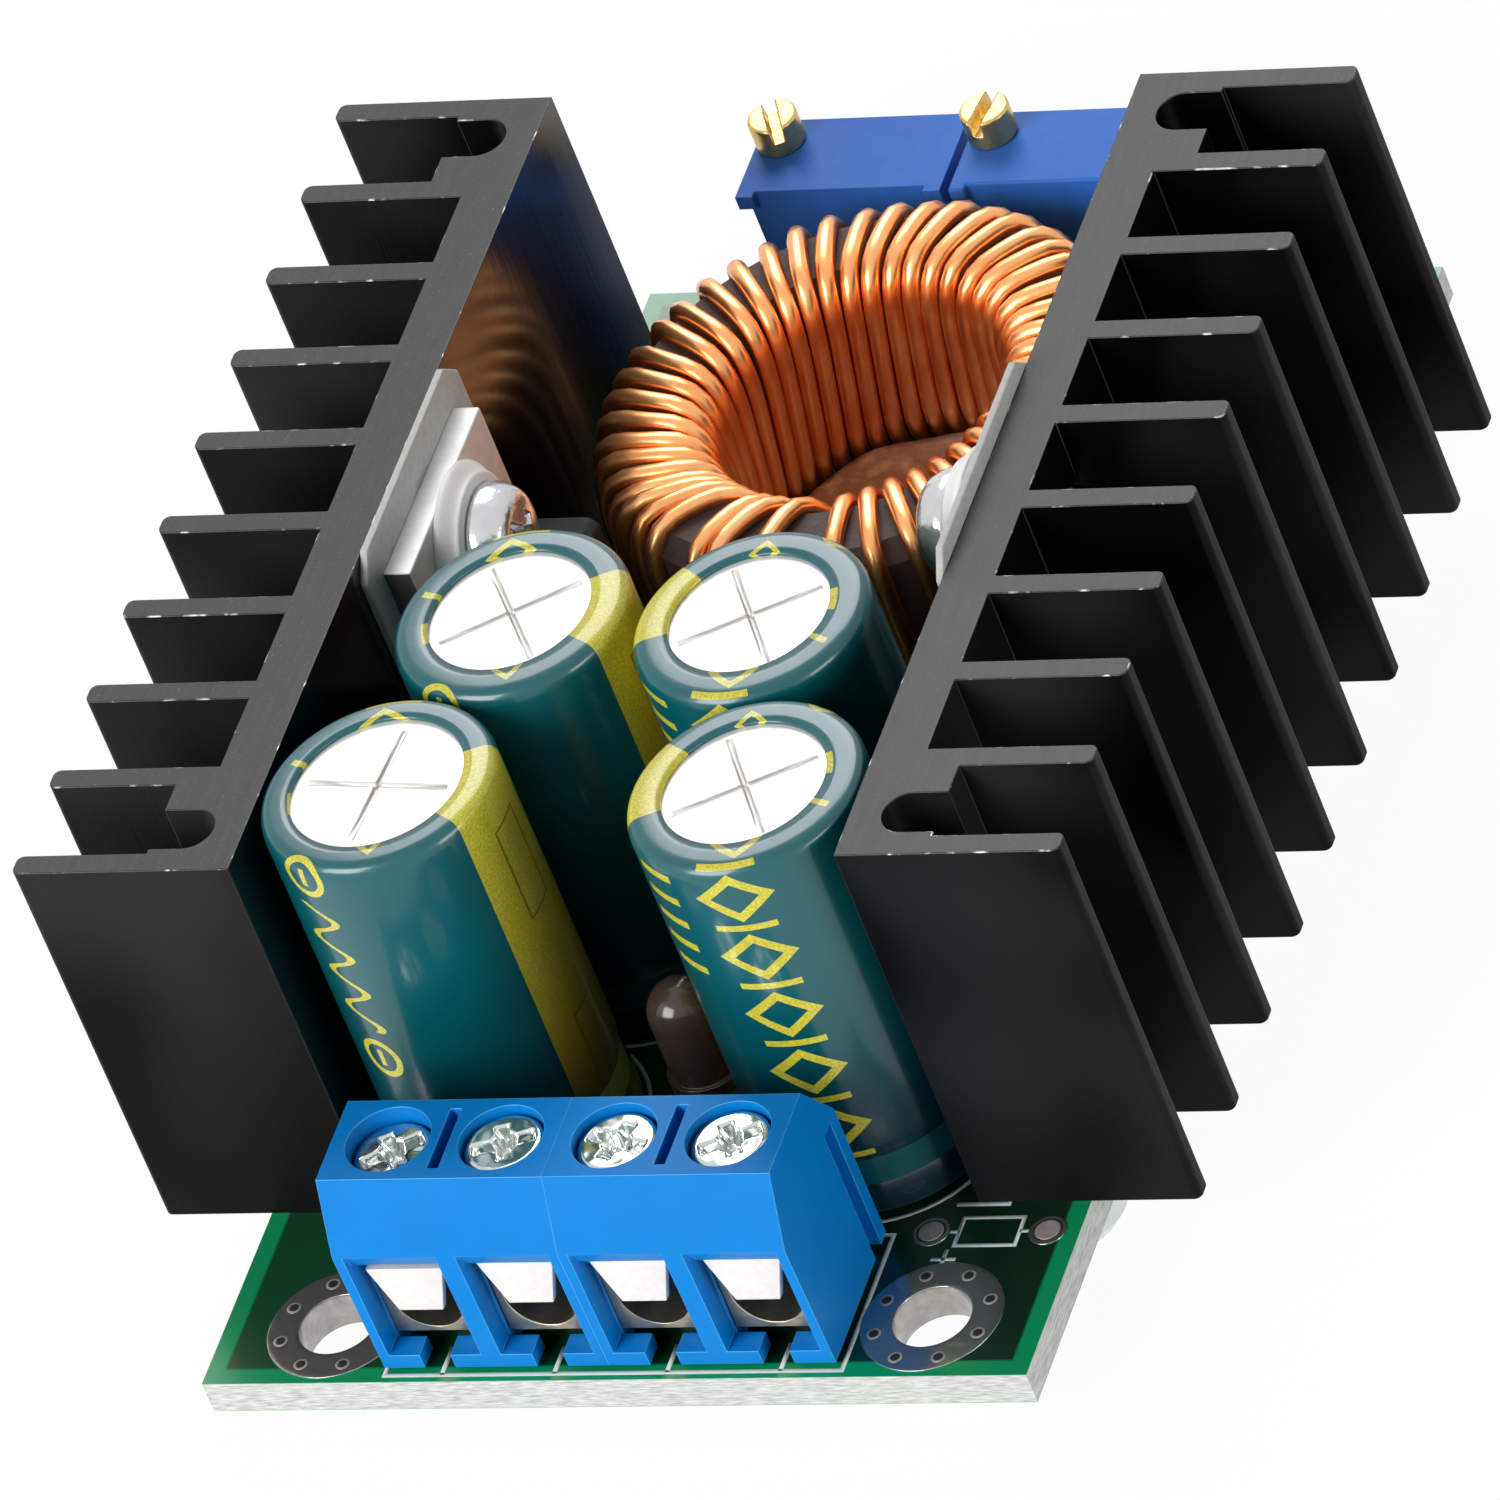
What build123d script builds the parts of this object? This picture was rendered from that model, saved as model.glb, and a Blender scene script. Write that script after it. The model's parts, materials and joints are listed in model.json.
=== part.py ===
from build123d import *
from collections import namedtuple
from math import cos, hypot, pi, radians, sin, sqrt
import os

# A step-down converter module: a board with two extruded heatsinks, a flat ring coil, four
# capacitors, two trimmers, two power devices and a four-way screw terminal.
# Millimetres, +Z up. X is across the board, -Y is the terminal end.
# The origin is the centre of the corner holes, on the board's underside.

# Ring coil
core_outer_r = 11.24
core_inner_r = 7.0
core_height = 9.58
core_edge = 0.8
wire_d = 0.84
wire_gap = 0.06
wire_bend = 0.7
wire_sides = 6
turn_gap = 0.02
coil_open_angle = 16.0
coil_standoff = 0.3
glue_height = 2.5
glue_gap = 0.25

# Board
board_thickness = 1.6
board_under_sink = 5.0
corner_hole_r = 1.75
corner_hole_inset_x = 5.15
corner_hole_inset_y = 3.34
hole_clearance = 0.08
front_margin = 0.25
back_margin = 0.45

# Heatsinks
sink_coil_gap = 1.4
sink_length = 46.5
sink_height = 20.0
sink_depth = 9.9
sink_spine = 2.35
sink_setback = 9.85
fin_count = 10
fin_thickness = 1.05
fin_tip_r = 0.35
slot_width = 2.25
slot_wall = 1.3
slot_reach = 1.45
slot_boss_reach = 4.05

# Screws from below into the heatsinks' slots
slot_screw_length = 8.0
slot_screw_head_r = 2.4
slot_screw_head_height = 1.9
thread_gap = 0.05
board_screw_gap = 0.35

# Capacitors: the left pair is soldered a little further back than the right pair
can_d = 10.0
can_standoff = 0.3
can_edge = 0.35
can_skew = 0.28
crimp_height = 2.2
crimp_depth = 0.45
sleeve_wall = 0.12
sleeve_gap = 0.02
sleeve_fold = 1.4
vent_width = 0.25
vent_depth = 0.08
vent_margin = 0.3
can_neighbour_gap = 0.15
can_back_pair_gap = 0.7
can_pin_pitch = 5.0
can_pin_r = 0.3
can_terminal_gap = 1.26

# Power devices and what holds them to the heatsinks
pad_thickness = 0.35
pad_width = 13.0
pad_above_board = 1.5
pad_corner = 1.0
pad_left_shift = 0.1
pad_left_rise = 0.1
pad_right_shift = -1.4
pad_right_rise = 0.8
tab_thickness = 1.25
tab_width = 10.1
tab_below_sink = 1.6
tab_hole_drop = 2.8
tab_notch_width = 0.35
tab_notch_height = 1.3
moulding_drop = 6.4
moulding_width = 10.0
moulding_height = 9.0
moulding_depth = 4.5
moulding_draft = 0.4
device_coil_gap = 0.25
device_can_gap = 0.15
device_lead_pitch = 2.54
device_lead_width = 0.8
device_lead_shoulder = 0.25
device_lead_thickness = 0.5
device_lead_back = 2.6
bushing_flange_r = 3.3
bushing_flange = 1.0
bushing_wall = 0.32
bushing_gap = 0.03
device_screw_r = 1.45
device_head_r = 2.8
device_head_height = 2.0
device_recess_width = 0.7
device_recess_length = 3.0
device_recess_depth = 0.9

# Trimmers
trimmer_width = 9.53
trimmer_depth = 4.83
trimmer_height = 10.0
trimmer_standoff = 0.2
trimmer_pair_gap = 0.34
trimmer_coil_gap = 0.5
trimmer_offset_x = 0.16
trimmer_lid = 0.7
trimmer_post = 0.8
trimmer_recess = 0.36
trimmer_step = 0.4
trimmer_pin_r = 0.25
trimmer_pin_pitch = 2.54
adjuster_r = 1.1
adjuster_head = 1.5
adjuster_shaft_r = 0.45
adjuster_shaft_length = 4.0
adjuster_inset_x = 1.15
adjuster_inset_y = 1.35
adjuster_slot_width = 0.55
adjuster_slot_depth = 0.7
running_gap = 0.04

# Screw terminal: cage, clamp leaf and screw in each pole
pole_pitch = 5.08
pole_count = 4
terminal_offset_x = -0.1
housing_lift = 0.3
housing_lean = 1.25
housing_back_wall = 2.0
housing_rim = 0.3
lip_chamfer = 0.5
lip_chamfer_height = 0.9
back_chamfer = 1.9
back_chamfer_height = 2.8
divider = 0.9
floor_thickness = 0.75
floor_slot = 1.38
well_gap = 0.12
slit_width = 0.5
slit_length = 3.4
slit_depth = 2.0
key_width = 0.75
key_depth = 0.5
key_height = 7.3
key_gap = 0.05
key_from_back = 0.7
mouth_depth = 1.4
mouth_ceiling = 0.1
cage_side_gap = 0.14
cage_gap = 0.05
cage_wall = 0.4
cage_depth = 4.3
cage_floor = 1.3
cage_rim = 0.25
cage_opening = 4.45
cage_bridge = 0.85
cage_thread_wall = 0.46
cage_pin_width = 1.0
cage_pin_thickness = 0.8
leaf_thickness = 0.4
leaf_side_gap = 0.1
leaf_slot_gap = 0.05
leaf_front_gap = 0.3
leaf_travel = 1.8
leaf_travel_spare = 0.1
tongue_inset = 0.2
tongue_taper = 0.75
tongue_drop = 2.0
clamp_head_rim = 0.29
clamp_head_height = 1.25
clamp_head_dome = 0.15
clamp_recess_width = 0.6
clamp_recess_depth = 0.6
first_screw_sink = 0.35

# Indicator light
lamp_r = 1.5
lamp_rim = 0.2
lamp_flange = 0.7
lamp_length = 5.3
lamp_lift = 3.2
lamp_pin_pitch = 2.54
lamp_pin_r = 0.25
lamp_offset_x = 1.15
lamp_gap = 0.3

# Parts under the board
solder_height = 1.2
solder_margin = 0.55
solder_tip_r = 0.35
chip_length = 4.9
chip_width = 3.9
chip_height = 1.45
chip_lift = 0.1
chip_spacing = 10.0
chip_leg_pitch = 1.27
chip_legs_per_side = 4
chip_leg_width = 0.42
chip_leg_thickness = 0.2
chip_leg_reach = 1.05
passive_length = 2.0
passive_width = 1.25
passive_height = 0.6
passive_pitch = 2.0
passive_count = 5
shunt_length = 6.3
shunt_width = 3.2
shunt_height = 0.7

# Coil, worked out from the sizes above
board_top = board_thickness
wire_r = wire_d / 2
wire_outer_r = core_outer_r + wire_gap + wire_r
wire_inner_r = core_inner_r - wire_gap - wire_r
coil_r = wire_outer_r + wire_r
coil_hole_r = wire_inner_r - wire_r
coil_mid_z = board_top + coil_standoff + wire_d + wire_gap + core_height / 2
coil_span = radians(360 - coil_open_angle)
coil_turns = int(coil_span * wire_inner_r / (wire_d + turn_gap))

# Across the board: the coil, or the front capacitors with the light, set the heatsinks' spacing
sleeve_r = can_d / 2 + sleeve_gap + sleeve_wall
lamp_flange_r = lamp_r + lamp_rim
front_row_x = lamp_offset_x + lamp_flange_r + lamp_gap + 2 * sleeve_r + can_neighbour_gap / 2
sink_face_x = max(coil_r + sink_coil_gap, front_row_x)
board_width = 2 * (sink_face_x + board_under_sink)
can_front_x = sink_face_x - can_neighbour_gap / 2 - sleeve_r
can_back_x = can_back_pair_gap / 2 + sleeve_r
tab_back_x = sink_face_x - pad_thickness
tab_front_x = tab_back_x - tab_thickness
moulding_front_x = tab_back_x - moulding_depth
slot_centre_x = sink_face_x + slot_reach + slot_width / 2
corner_x = board_width / 2 - corner_hole_inset_x


def reach(radius, offset):
    """How far a circle reaches along Y at an offset across it."""
    return sqrt(max(radius ** 2 - offset ** 2, 0))


# Along the board: terminal, two rows of capacitors, power device, coil, trimmers
housing_depth = mouth_depth + cage_depth + housing_back_wall
can_row_step = reach(2 * sleeve_r + can_neighbour_gap, can_front_x - can_back_x)
can_to_device = reach(sleeve_r + device_can_gap, moulding_front_x - can_back_x) + can_skew
device_to_coil = reach(coil_r + device_coil_gap, moulding_front_x)
board_length = (front_margin + housing_depth + can_terminal_gap + sleeve_r + can_row_step
                + can_to_device + moulding_width + device_to_coil
                + coil_r + trimmer_coil_gap + trimmer_depth + back_margin)
board_front = -board_length / 2
board_back = board_length / 2
corner_y = board_length / 2 - corner_hole_inset_y
housing_front = board_front + front_margin
housing_back = housing_front + housing_depth
can_front_y = housing_back + can_terminal_gap + sleeve_r
can_back_y = can_front_y + can_row_step
device_y = can_back_y + can_to_device + moulding_width / 2
coil_y = device_y + moulding_width / 2 + device_to_coil
trimmer_y = board_back - back_margin - trimmer_depth / 2
sink_front = board_front + sink_setback
sink_back = sink_front + sink_length
slot_inset = slot_wall + slot_width / 2
lamp_y = can_front_y

# Upwards: capacitors, pads and power devices take their heights from the heatsinks
sink_top = board_top + sink_height
can_top = sink_top
pad_height = sink_height - pad_above_board
tab_top = sink_top - tab_below_sink
tab_bottom = tab_top - moulding_drop
tab_hole_z = tab_top - tab_hole_drop
tab_hole_r = device_screw_r + thread_gap + bushing_wall + bushing_gap

# Terminal
pole_x = [terminal_offset_x + (i - (pole_count - 1) / 2) * pole_pitch for i in range(pole_count)]
mouth_width = pole_pitch - divider
cage_width = mouth_width - 2 * cage_side_gap
cage_bore_r = cage_width / 2 - cage_wall
cage_front = housing_front + mouth_depth
cage_back = cage_front + cage_depth
cage_y = (cage_front + cage_back) / 2
cage_bottom = board_top + cage_floor
cage_bore_z = cage_bottom + cage_rim + cage_bore_r
bridge_bottom = cage_bottom + cage_rim + cage_opening
bridge_top = bridge_bottom + cage_bridge
clamp_screw_r = cage_width / 2 - cage_thread_wall - running_gap
clamp_head_r = clamp_screw_r + clamp_head_rim
clamp_head_top = bridge_top + leaf_travel + leaf_travel_spare + clamp_head_height
housing_bottom = board_top + housing_lift
housing_top = clamp_head_top + housing_rim
mouth_top = bridge_bottom + mouth_ceiling
lip_z = mouth_top + lip_chamfer_height

Lead = namedtuple("Lead", "x y radius")


def box(x, y, z):
    """Box between three pairs of limits."""
    size = Box(x[1] - x[0], y[1] - y[0], z[1] - z[0])
    return Pos((x[0] + x[1]) / 2, (y[0] + y[1]) / 2, (z[0] + z[1]) / 2) * size


def about(centre, width):
    """Pair of limits around a centre."""
    return (centre - width / 2, centre + width / 2)


def rod(radius, x, y, z):
    """Upright cylinder between two heights."""
    return Pos(x, y, (z[0] + z[1]) / 2) * Cylinder(radius, z[1] - z[0])


def turned(points):
    """Solid turned about the Z axis from (radius, height) points."""
    return revolve(make_face(Plane.XZ * Polyline(*points, close=True)), Axis.Z)


def along_x(points, middle, width):
    """Side outline of (y, z) points, as wide as said about its middle."""
    face = make_face(Plane.YZ * Polyline(*points, close=True))
    return Pos(middle, 0, 0) * extrude(face, width / 2, both=True)


def along_y(points, middle, width):
    """Front outline of (x, z) points, as deep as said about its middle."""
    face = make_face(Plane.XZ * Polyline(*points, close=True))
    return Pos(0, middle, 0) * extrude(face, width / 2, both=True)


def crossed(length, width, depth):
    """Two crossed bars, the tool that cuts a recess or a score line about the origin."""
    return Box(length, width, 2 * depth) + Box(width, length, 2 * depth)


def on_side(solid, side):
    """Solid made for the right (+1), or its mirror image for the left (-1)."""
    return solid if side > 0 else mirror(solid, about=Plane.YZ)


def tube_along(points, radius, sides):
    """Wire of regular section along straight runs, mitred at each bend."""
    path = [Vector(*point) for point in points]
    runs = [(after - before).normalized() for before, after in zip(path, path[1:])]
    start = Plane(origin=path[0], z_dir=runs[0])
    angles = [2 * pi * i / sides for i in range(sides)]
    ring = [Vector(start.from_local_coords((radius * cos(a), radius * sin(a), 0))) for a in angles]
    rings = [ring]
    for point, before, after in zip(path[1:], runs, runs[1:] + [runs[-1]]):
        normal = (before + after).normalized()
        ring = [corner + before * ((point - corner).dot(normal) / before.dot(normal)) for corner in ring]
        rings.append(ring)
    faces = [Face(Wire.make_polygon(rings[0][::-1])), Face(Wire.make_polygon(rings[-1]))]
    for low, high in zip(rings, rings[1:]):
        for i in range(sides):
            j = (i + 1) % sides
            faces.append(Face(Wire.make_polygon([low[i], low[j], high[j], high[i]])))
    return Solid(Shell(faces))


def capacitor_places():
    """Centre of each capacitor, front and back, left and right."""
    return {
        "front_left": (-can_front_x, can_front_y + can_skew),
        "front_right": (can_front_x, can_front_y - can_skew),
        "back_left": (-can_back_x, can_back_y + can_skew),
        "back_right": (can_back_x, can_back_y - can_skew),
    }


def device_lead_places(side):
    x = side * (tab_back_x - device_lead_back)
    return [(x, device_y + i * device_lead_pitch) for i in (-1, 0, 1)]


def trimmer_centre(side):
    return trimmer_offset_x + side * (trimmer_width + trimmer_pair_gap) / 2


def coil_path():
    """Centre line of the wire, through the board, round the core and back down.

    Each turn rises outside, crosses the top inwards, drops down the hole and crosses
    the bottom outwards; outside the turns stand one step apart, inside half a step on.
    """
    step = coil_span / coil_turns
    start = radians(-90 + coil_open_angle / 2)
    half = core_height / 2 + wire_gap + wire_r
    low = coil_mid_z - half
    high = coil_mid_z + half

    def spot(radius, angle, z):
        return (radius * cos(angle), coil_y + radius * sin(angle), z)

    points = [spot(wire_outer_r, start, 0)]
    for turn in range(coil_turns):
        out = start + turn * step
        down = out + step / 2
        back = out + step
        points += [
            spot(wire_outer_r, out, high - wire_bend),
            spot(wire_outer_r - wire_bend, out, high),
            spot(wire_inner_r + wire_bend, down, high),
            spot(wire_inner_r, down, high - wire_bend),
            spot(wire_inner_r, down, low + wire_bend),
            spot(wire_inner_r + wire_bend, down, low),
            spot(wire_outer_r - wire_bend, back, low),
        ]
        if turn < coil_turns - 1:
            points.append(spot(wire_outer_r, back, low + wire_bend))
    end = start + coil_span
    points += [spot(wire_outer_r, end, low - coil_standoff), spot(wire_outer_r, end, 0)]
    return points


def all_leads():
    """Every lead soldered through the board, with the radius of the hole it needs."""
    pin = hypot(cage_pin_width, cage_pin_thickness) / 2
    leg = hypot(device_lead_width, device_lead_thickness) / 2
    leads = [Lead(x, cage_y, pin) for x in pole_x]
    for x, y in capacitor_places().values():
        leads += [Lead(x + s * can_pin_pitch / 2, y, can_pin_r) for s in (-1, 1)]
    path = coil_path()
    leads += [Lead(x, y, wire_r) for x, y, z in (path[0], path[-1])]
    for side in (-1, 1):
        middle = trimmer_centre(side)
        leads += [Lead(middle + i * trimmer_pin_pitch, trimmer_y, trimmer_pin_r) for i in (-1, 0, 1)]
        leads += [Lead(x, y, leg) for x, y in device_lead_places(side)]
    leads += [Lead(lamp_offset_x + s * lamp_pin_pitch / 2, lamp_y, lamp_pin_r) for s in (-1, 1)]
    return leads


def slot_screw_places():
    rows = (sink_front + slot_inset, sink_back - slot_inset)
    return [(side * slot_centre_x, y) for side in (-1, 1) for y in rows]


def circuit_board():
    board = box((-board_width / 2, board_width / 2), (board_front, board_back), (0, board_top))
    through = (-1, board_top + 1)
    holes = [rod(corner_hole_r, sx * corner_x, sy * corner_y, through) for sx in (-1, 1) for sy in (-1, 1)]
    holes += [rod(slot_width / 2 + board_screw_gap, x, y, through) for x, y in slot_screw_places()]
    holes += [rod(lead.radius + hole_clearance, lead.x, lead.y, through) for lead in all_leads()]
    return board - holes


def solder_joints():
    return [Pos(lead.x, lead.y, -solder_height / 2)
            * Cone(solder_tip_r, lead.radius + solder_margin, solder_height) for lead in all_leads()]


def heatsink():
    """Right-hand extrusion: a spine, a comb of fins, and a screw slot beside each end fin."""
    tip = sink_face_x + sink_depth
    pitch = (sink_length - fin_thickness) / (fin_count - 1)
    middle = (sink_front + sink_back) / 2
    profile = Pos(sink_face_x + sink_spine / 2, middle) * Rectangle(sink_spine, sink_length)
    for i in range(fin_count):
        y = sink_front + fin_thickness / 2 + i * pitch
        profile += Pos(sink_face_x + sink_depth / 2, y) * Rectangle(sink_depth, fin_thickness)
    tips = profile.vertices().filter_by(lambda corner: corner.X > tip - 0.01)
    profile = fillet(tips, min(fin_tip_r, 0.45 * fin_thickness))
    for end, inward in ((sink_front, 1), (sink_back, -1)):
        second_fin = end + inward * (pitch + fin_thickness / 2)
        boss = [(sink_face_x, end),
                (sink_face_x + slot_boss_reach - (slot_wall - fin_thickness), end),
                (sink_face_x + slot_boss_reach, end + inward * fin_thickness),
                (sink_face_x + slot_boss_reach, second_fin),
                (sink_face_x, second_fin)]
        profile += make_face(Polyline(*boss, close=True))
        centre = Pos(slot_centre_x, end + inward * slot_inset)
        profile -= centre * Circle(slot_width / 2)
        profile -= centre * Pos(sink_depth / 2, 0) * Rectangle(sink_depth, slot_width)
    sink = Pos(0, 0, board_top) * extrude(profile, sink_height)
    tapped = Rot(0, 90, 0) * Cylinder(device_screw_r + thread_gap, 3 * sink_spine)
    return sink - Pos(sink_face_x, device_y, tab_hole_z) * tapped


def slot_screw(x, y):
    """Pan-head screw under the board, its core in the heatsink's slot."""
    head = slot_screw_head_height
    outline = [(0, 0), (slot_screw_head_r, 0), (slot_screw_head_r, -head * 0.6),
               (slot_screw_head_r * 0.75, -head), (0, -head)]
    shank = rod(slot_width / 2 - thread_gap, 0, 0, (0, slot_screw_length))
    return Pos(x, y, 0) * (turned(outline) + shank)


def can_outline(grow):
    """Side of the can from its foot to its rim, moved out by a distance."""
    r = can_d / 2 + grow
    foot = board_top + can_standoff
    top = can_top + grow
    crimp = foot + crimp_height
    return [(r, foot), (r, crimp - crimp_depth), (r - crimp_depth, crimp), (r, crimp + crimp_depth),
            (r, top - can_edge), (r - can_edge, top)]


def capacitor_can():
    """Aluminium can with its crimp, its bevelled rim and the vent scored across its top."""
    side = can_outline(0)
    foot, top = side[0][1], side[-1][1]
    can = turned([(0, foot)] + side + [(0, top)])
    score = 2 * (can_d / 2 - sleeve_fold - vent_margin)
    return can - Pos(0, 0, top) * crossed(score, vent_width, vent_depth)


def capacitor_sleeve():
    """Shrink sleeve that follows the crimp and folds in over the can's rim."""
    inside = can_outline(sleeve_gap)
    outside = can_outline(sleeve_gap + sleeve_wall)
    opening = can_d / 2 - sleeve_fold
    fold = [(opening, inside[-1][1]), (opening, outside[-1][1])]
    return turned(inside + fold + outside[::-1])


def insulating_pad(shift, rise):
    """Thin sheet behind a power device, with cut corners and a hole for the screw."""
    middle_z = sink_top + rise - pad_height / 2
    sheet = chamfer(Rectangle(pad_width, pad_height).vertices(), pad_corner)
    sheet -= Pos(-shift, tab_hole_z - middle_z) * Circle(device_screw_r + thread_gap)
    plane = Plane(origin=(tab_back_x, device_y + shift, middle_z), x_dir=(0, 1, 0), z_dir=(1, 0, 0))
    return extrude(plane * sheet, pad_thickness)


def device_tab():
    """Metal plate with its bolt hole, notched where it enters the moulding."""
    tab = box((tab_front_x, tab_back_x), about(device_y, tab_width), (tab_bottom, tab_top))
    tab -= Pos(tab_back_x, device_y, tab_hole_z) * Rot(0, 90, 0) * Cylinder(tab_hole_r, 4 * tab_thickness)
    for s in (-1, 1):
        edge = device_y + s * tab_width / 2
        tab -= box((tab_front_x - 1, tab_back_x + 1), about(edge, 2 * tab_notch_width),
                   (tab_bottom - 1, tab_bottom + tab_notch_height))
    return tab


def device_moulding():
    """Black moulding whose front, top and foot slope in by the mould's draft."""
    top, foot = tab_bottom, tab_bottom - moulding_height
    front, back, draft = moulding_front_x, tab_back_x, moulding_draft
    outline = [(back, foot), (front + draft, foot), (front, foot + 2 * draft), (front, top - draft),
               (front + draft, top), (back, top)]
    return along_y(outline, device_y, moulding_width)


def device_leads(side):
    """Three flat leads, each wider above its shoulder than where it enters the board."""
    foot = tab_bottom - moulding_height
    shoulder = board_top + (foot - board_top) * 0.4
    leads = []
    for x, y in device_lead_places(side):
        thick = about(x, device_lead_thickness)
        narrow = box(thick, about(y, device_lead_width), (0, foot))
        wide = box(thick, about(y, device_lead_width + 2 * device_lead_shoulder), (shoulder, foot))
        leads.append(narrow + wide)
    return leads


def device_bushing():
    """Shoulder bushing: a flange on the tab and a short sleeve in its hole."""
    inner = device_screw_r + thread_gap
    outer = inner + bushing_wall
    outline = [(inner, -bushing_flange), (bushing_flange_r, -bushing_flange), (bushing_flange_r, 0),
               (outer, 0), (outer, tab_thickness), (inner, tab_thickness)]
    return Pos(tab_front_x, device_y, tab_hole_z) * Rot(0, 90, 0) * turned(outline)


def device_screw():
    """Pan-head screw through bushing and pad, flush with the back of the heatsink's spine."""
    r, h = device_head_r, device_head_height
    seat = -bushing_flange
    end = tab_thickness + pad_thickness + sink_spine
    outline = [(0, seat - h), (r * 0.55, seat - h), (r * 0.85, seat - h * 0.8), (r, seat - h * 0.4),
               (r, seat), (device_screw_r, seat), (device_screw_r, end), (0, end)]
    recess = crossed(device_recess_length, device_recess_width, device_recess_depth)
    screw = turned(outline) - Pos(0, 0, seat - h) * recess
    return Pos(tab_front_x, device_y, tab_hole_z) * Rot(0, 90, 0) * screw


def adjuster_place(middle):
    return (middle - trimmer_width / 2 + adjuster_inset_x, trimmer_y + trimmer_depth / 2 - adjuster_inset_y)


def trimmer_body(middle):
    """Case under a lid with two posts at its front, and the adjuster's bore at the back left. The
    case stands back from the posts, and its left side is a step in from the lid."""
    foot = board_top + trimmer_standoff
    top = foot + trimmer_height
    lid_bottom = top - trimmer_lid
    front, back = trimmer_y - trimmer_depth / 2, trimmer_y + trimmer_depth / 2
    left, right = middle - trimmer_width / 2, middle + trimmer_width / 2
    lid = box((left, right), (front, back), (lid_bottom, top))
    lid -= box((left + trimmer_post, right - trimmer_post), (front - 1, front + trimmer_recess),
               (lid_bottom - 1, top + 1))
    case = box((left + trimmer_step, right), (front + trimmer_recess, back), (foot, lid_bottom))
    x, y = adjuster_place(middle)
    bore = (top - adjuster_shaft_length - running_gap, top + 1)
    return lid + case - rod(adjuster_shaft_r + running_gap, x, y, bore)


def trimmer_screw(middle):
    """Slotted adjuster: its head turns just above the body, its shaft in the bore."""
    x, y = adjuster_place(middle)
    top = board_top + trimmer_standoff + trimmer_height
    head_top = top + running_gap + adjuster_head
    head = rod(adjuster_r, x, y, (top + running_gap, head_top))
    shaft = rod(adjuster_shaft_r, x, y, (top - adjuster_shaft_length, top + running_gap))
    slot = Box(3 * adjuster_r, adjuster_slot_width, 2 * adjuster_slot_depth)
    return head + shaft - Pos(x, y, head_top) * slot


def terminal_housing(side):
    """Two-way housing: screw wells, wire mouths, cage pockets, floor slots and side keys."""
    poles = [x for x in pole_x if (x - terminal_offset_x) * side > 0]
    middle = sum(poles) / len(poles)
    width = len(poles) * pole_pitch
    f, b = housing_front, housing_back
    outline = [(f + lip_chamfer / 2, housing_bottom), (f, lip_z), (f + housing_lean, housing_top),
               (b - back_chamfer, housing_top), (b, housing_top - back_chamfer_height), (b, housing_bottom)]
    body = along_x(outline, middle, width)
    floor = housing_bottom + floor_thickness
    mouth = [(f - 1, floor), (cage_front, floor), (cage_front, mouth_top), (f + lip_chamfer, mouth_top),
             (f, lip_z), (f - 1, lip_z)]
    well_r = clamp_head_r + well_gap
    below = housing_bottom - 1
    for x in poles:
        body -= along_x(mouth, x, mouth_width)
        body -= box(about(x, cage_width + 2 * cage_gap), (cage_front - cage_gap, cage_back + cage_gap),
                    (below, bridge_top + cage_gap))
        body -= box(about(x, floor_slot), (f - 1, cage_front), (below, floor + 1))
        body -= rod(well_r, x, cage_y, (bridge_top, housing_top + 1))
    slit = (housing_top - slit_depth, housing_top + 1)
    body -= box(about(middle, slit_width), about(cage_y, slit_length), slit)
    right, left = middle + width / 2, middle - width / 2
    key_back = b - key_from_back
    key_top = board_top + key_height
    body -= box((right - key_depth - key_gap, right + 1), (key_back - key_width - 2 * key_gap, key_back),
                (below, key_top + key_gap))
    return body + box((left - key_depth, left + 0.1), (key_back - key_width - key_gap, key_back - key_gap),
                      (housing_bottom, key_top))


def terminal_cage(x):
    """Tinned cage: a U-shaped wire way under a threaded bridge, and the pin to the board."""
    cage = box(about(x, cage_width), (cage_front, cage_back), (cage_bottom, bridge_top))
    cage -= Pos(x, cage_y, cage_bore_z) * Rot(90, 0, 0) * Cylinder(cage_bore_r, cage_depth + 2)
    cage -= box(about(x, 2 * cage_bore_r), (cage_front - 1, cage_back + 1), (cage_bore_z, bridge_bottom))
    cage -= rod(clamp_screw_r + running_gap, x, cage_y, (bridge_bottom - 1, bridge_top + 1))
    return cage + box(about(x, cage_pin_width), about(cage_y, cage_pin_thickness), (0, cage_bottom))


def terminal_leaf(x, lowered):
    """Bent clamp leaf: a strip under the screw and a tapered tongue in front of the cage."""
    top = bridge_bottom - leaf_slot_gap - lowered
    front = cage_front - leaf_front_gap
    strip = box(about(x, 2 * (cage_bore_r - leaf_side_gap)),
                (front - leaf_thickness, cage_back - leaf_slot_gap), (top - leaf_thickness, top))
    half = cage_width / 2 - tongue_inset
    low = top - leaf_thickness - tongue_drop
    tip = half - tongue_taper
    outline = [(x - half, top), (x + half, top), (x + tip, low), (x - tip, low)]
    return strip + along_y(outline, front - leaf_thickness / 2, leaf_thickness)


def terminal_screw(x, lowered):
    """Domed clamp screw whose tip stands on the leaf."""
    top = clamp_head_top - lowered
    tip = bridge_bottom - lowered
    shoulder = top - clamp_head_height
    outline = [(0, tip), (clamp_screw_r, tip), (clamp_screw_r, shoulder), (clamp_head_r, shoulder),
               (clamp_head_r, top - clamp_head_dome), (clamp_head_r * 0.6, top), (0, top)]
    recess = crossed(1.6 * clamp_head_r, clamp_recess_width, clamp_recess_depth)
    return Pos(x, cage_y, 0) * (turned(outline) - Pos(0, 0, top) * recess)


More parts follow.
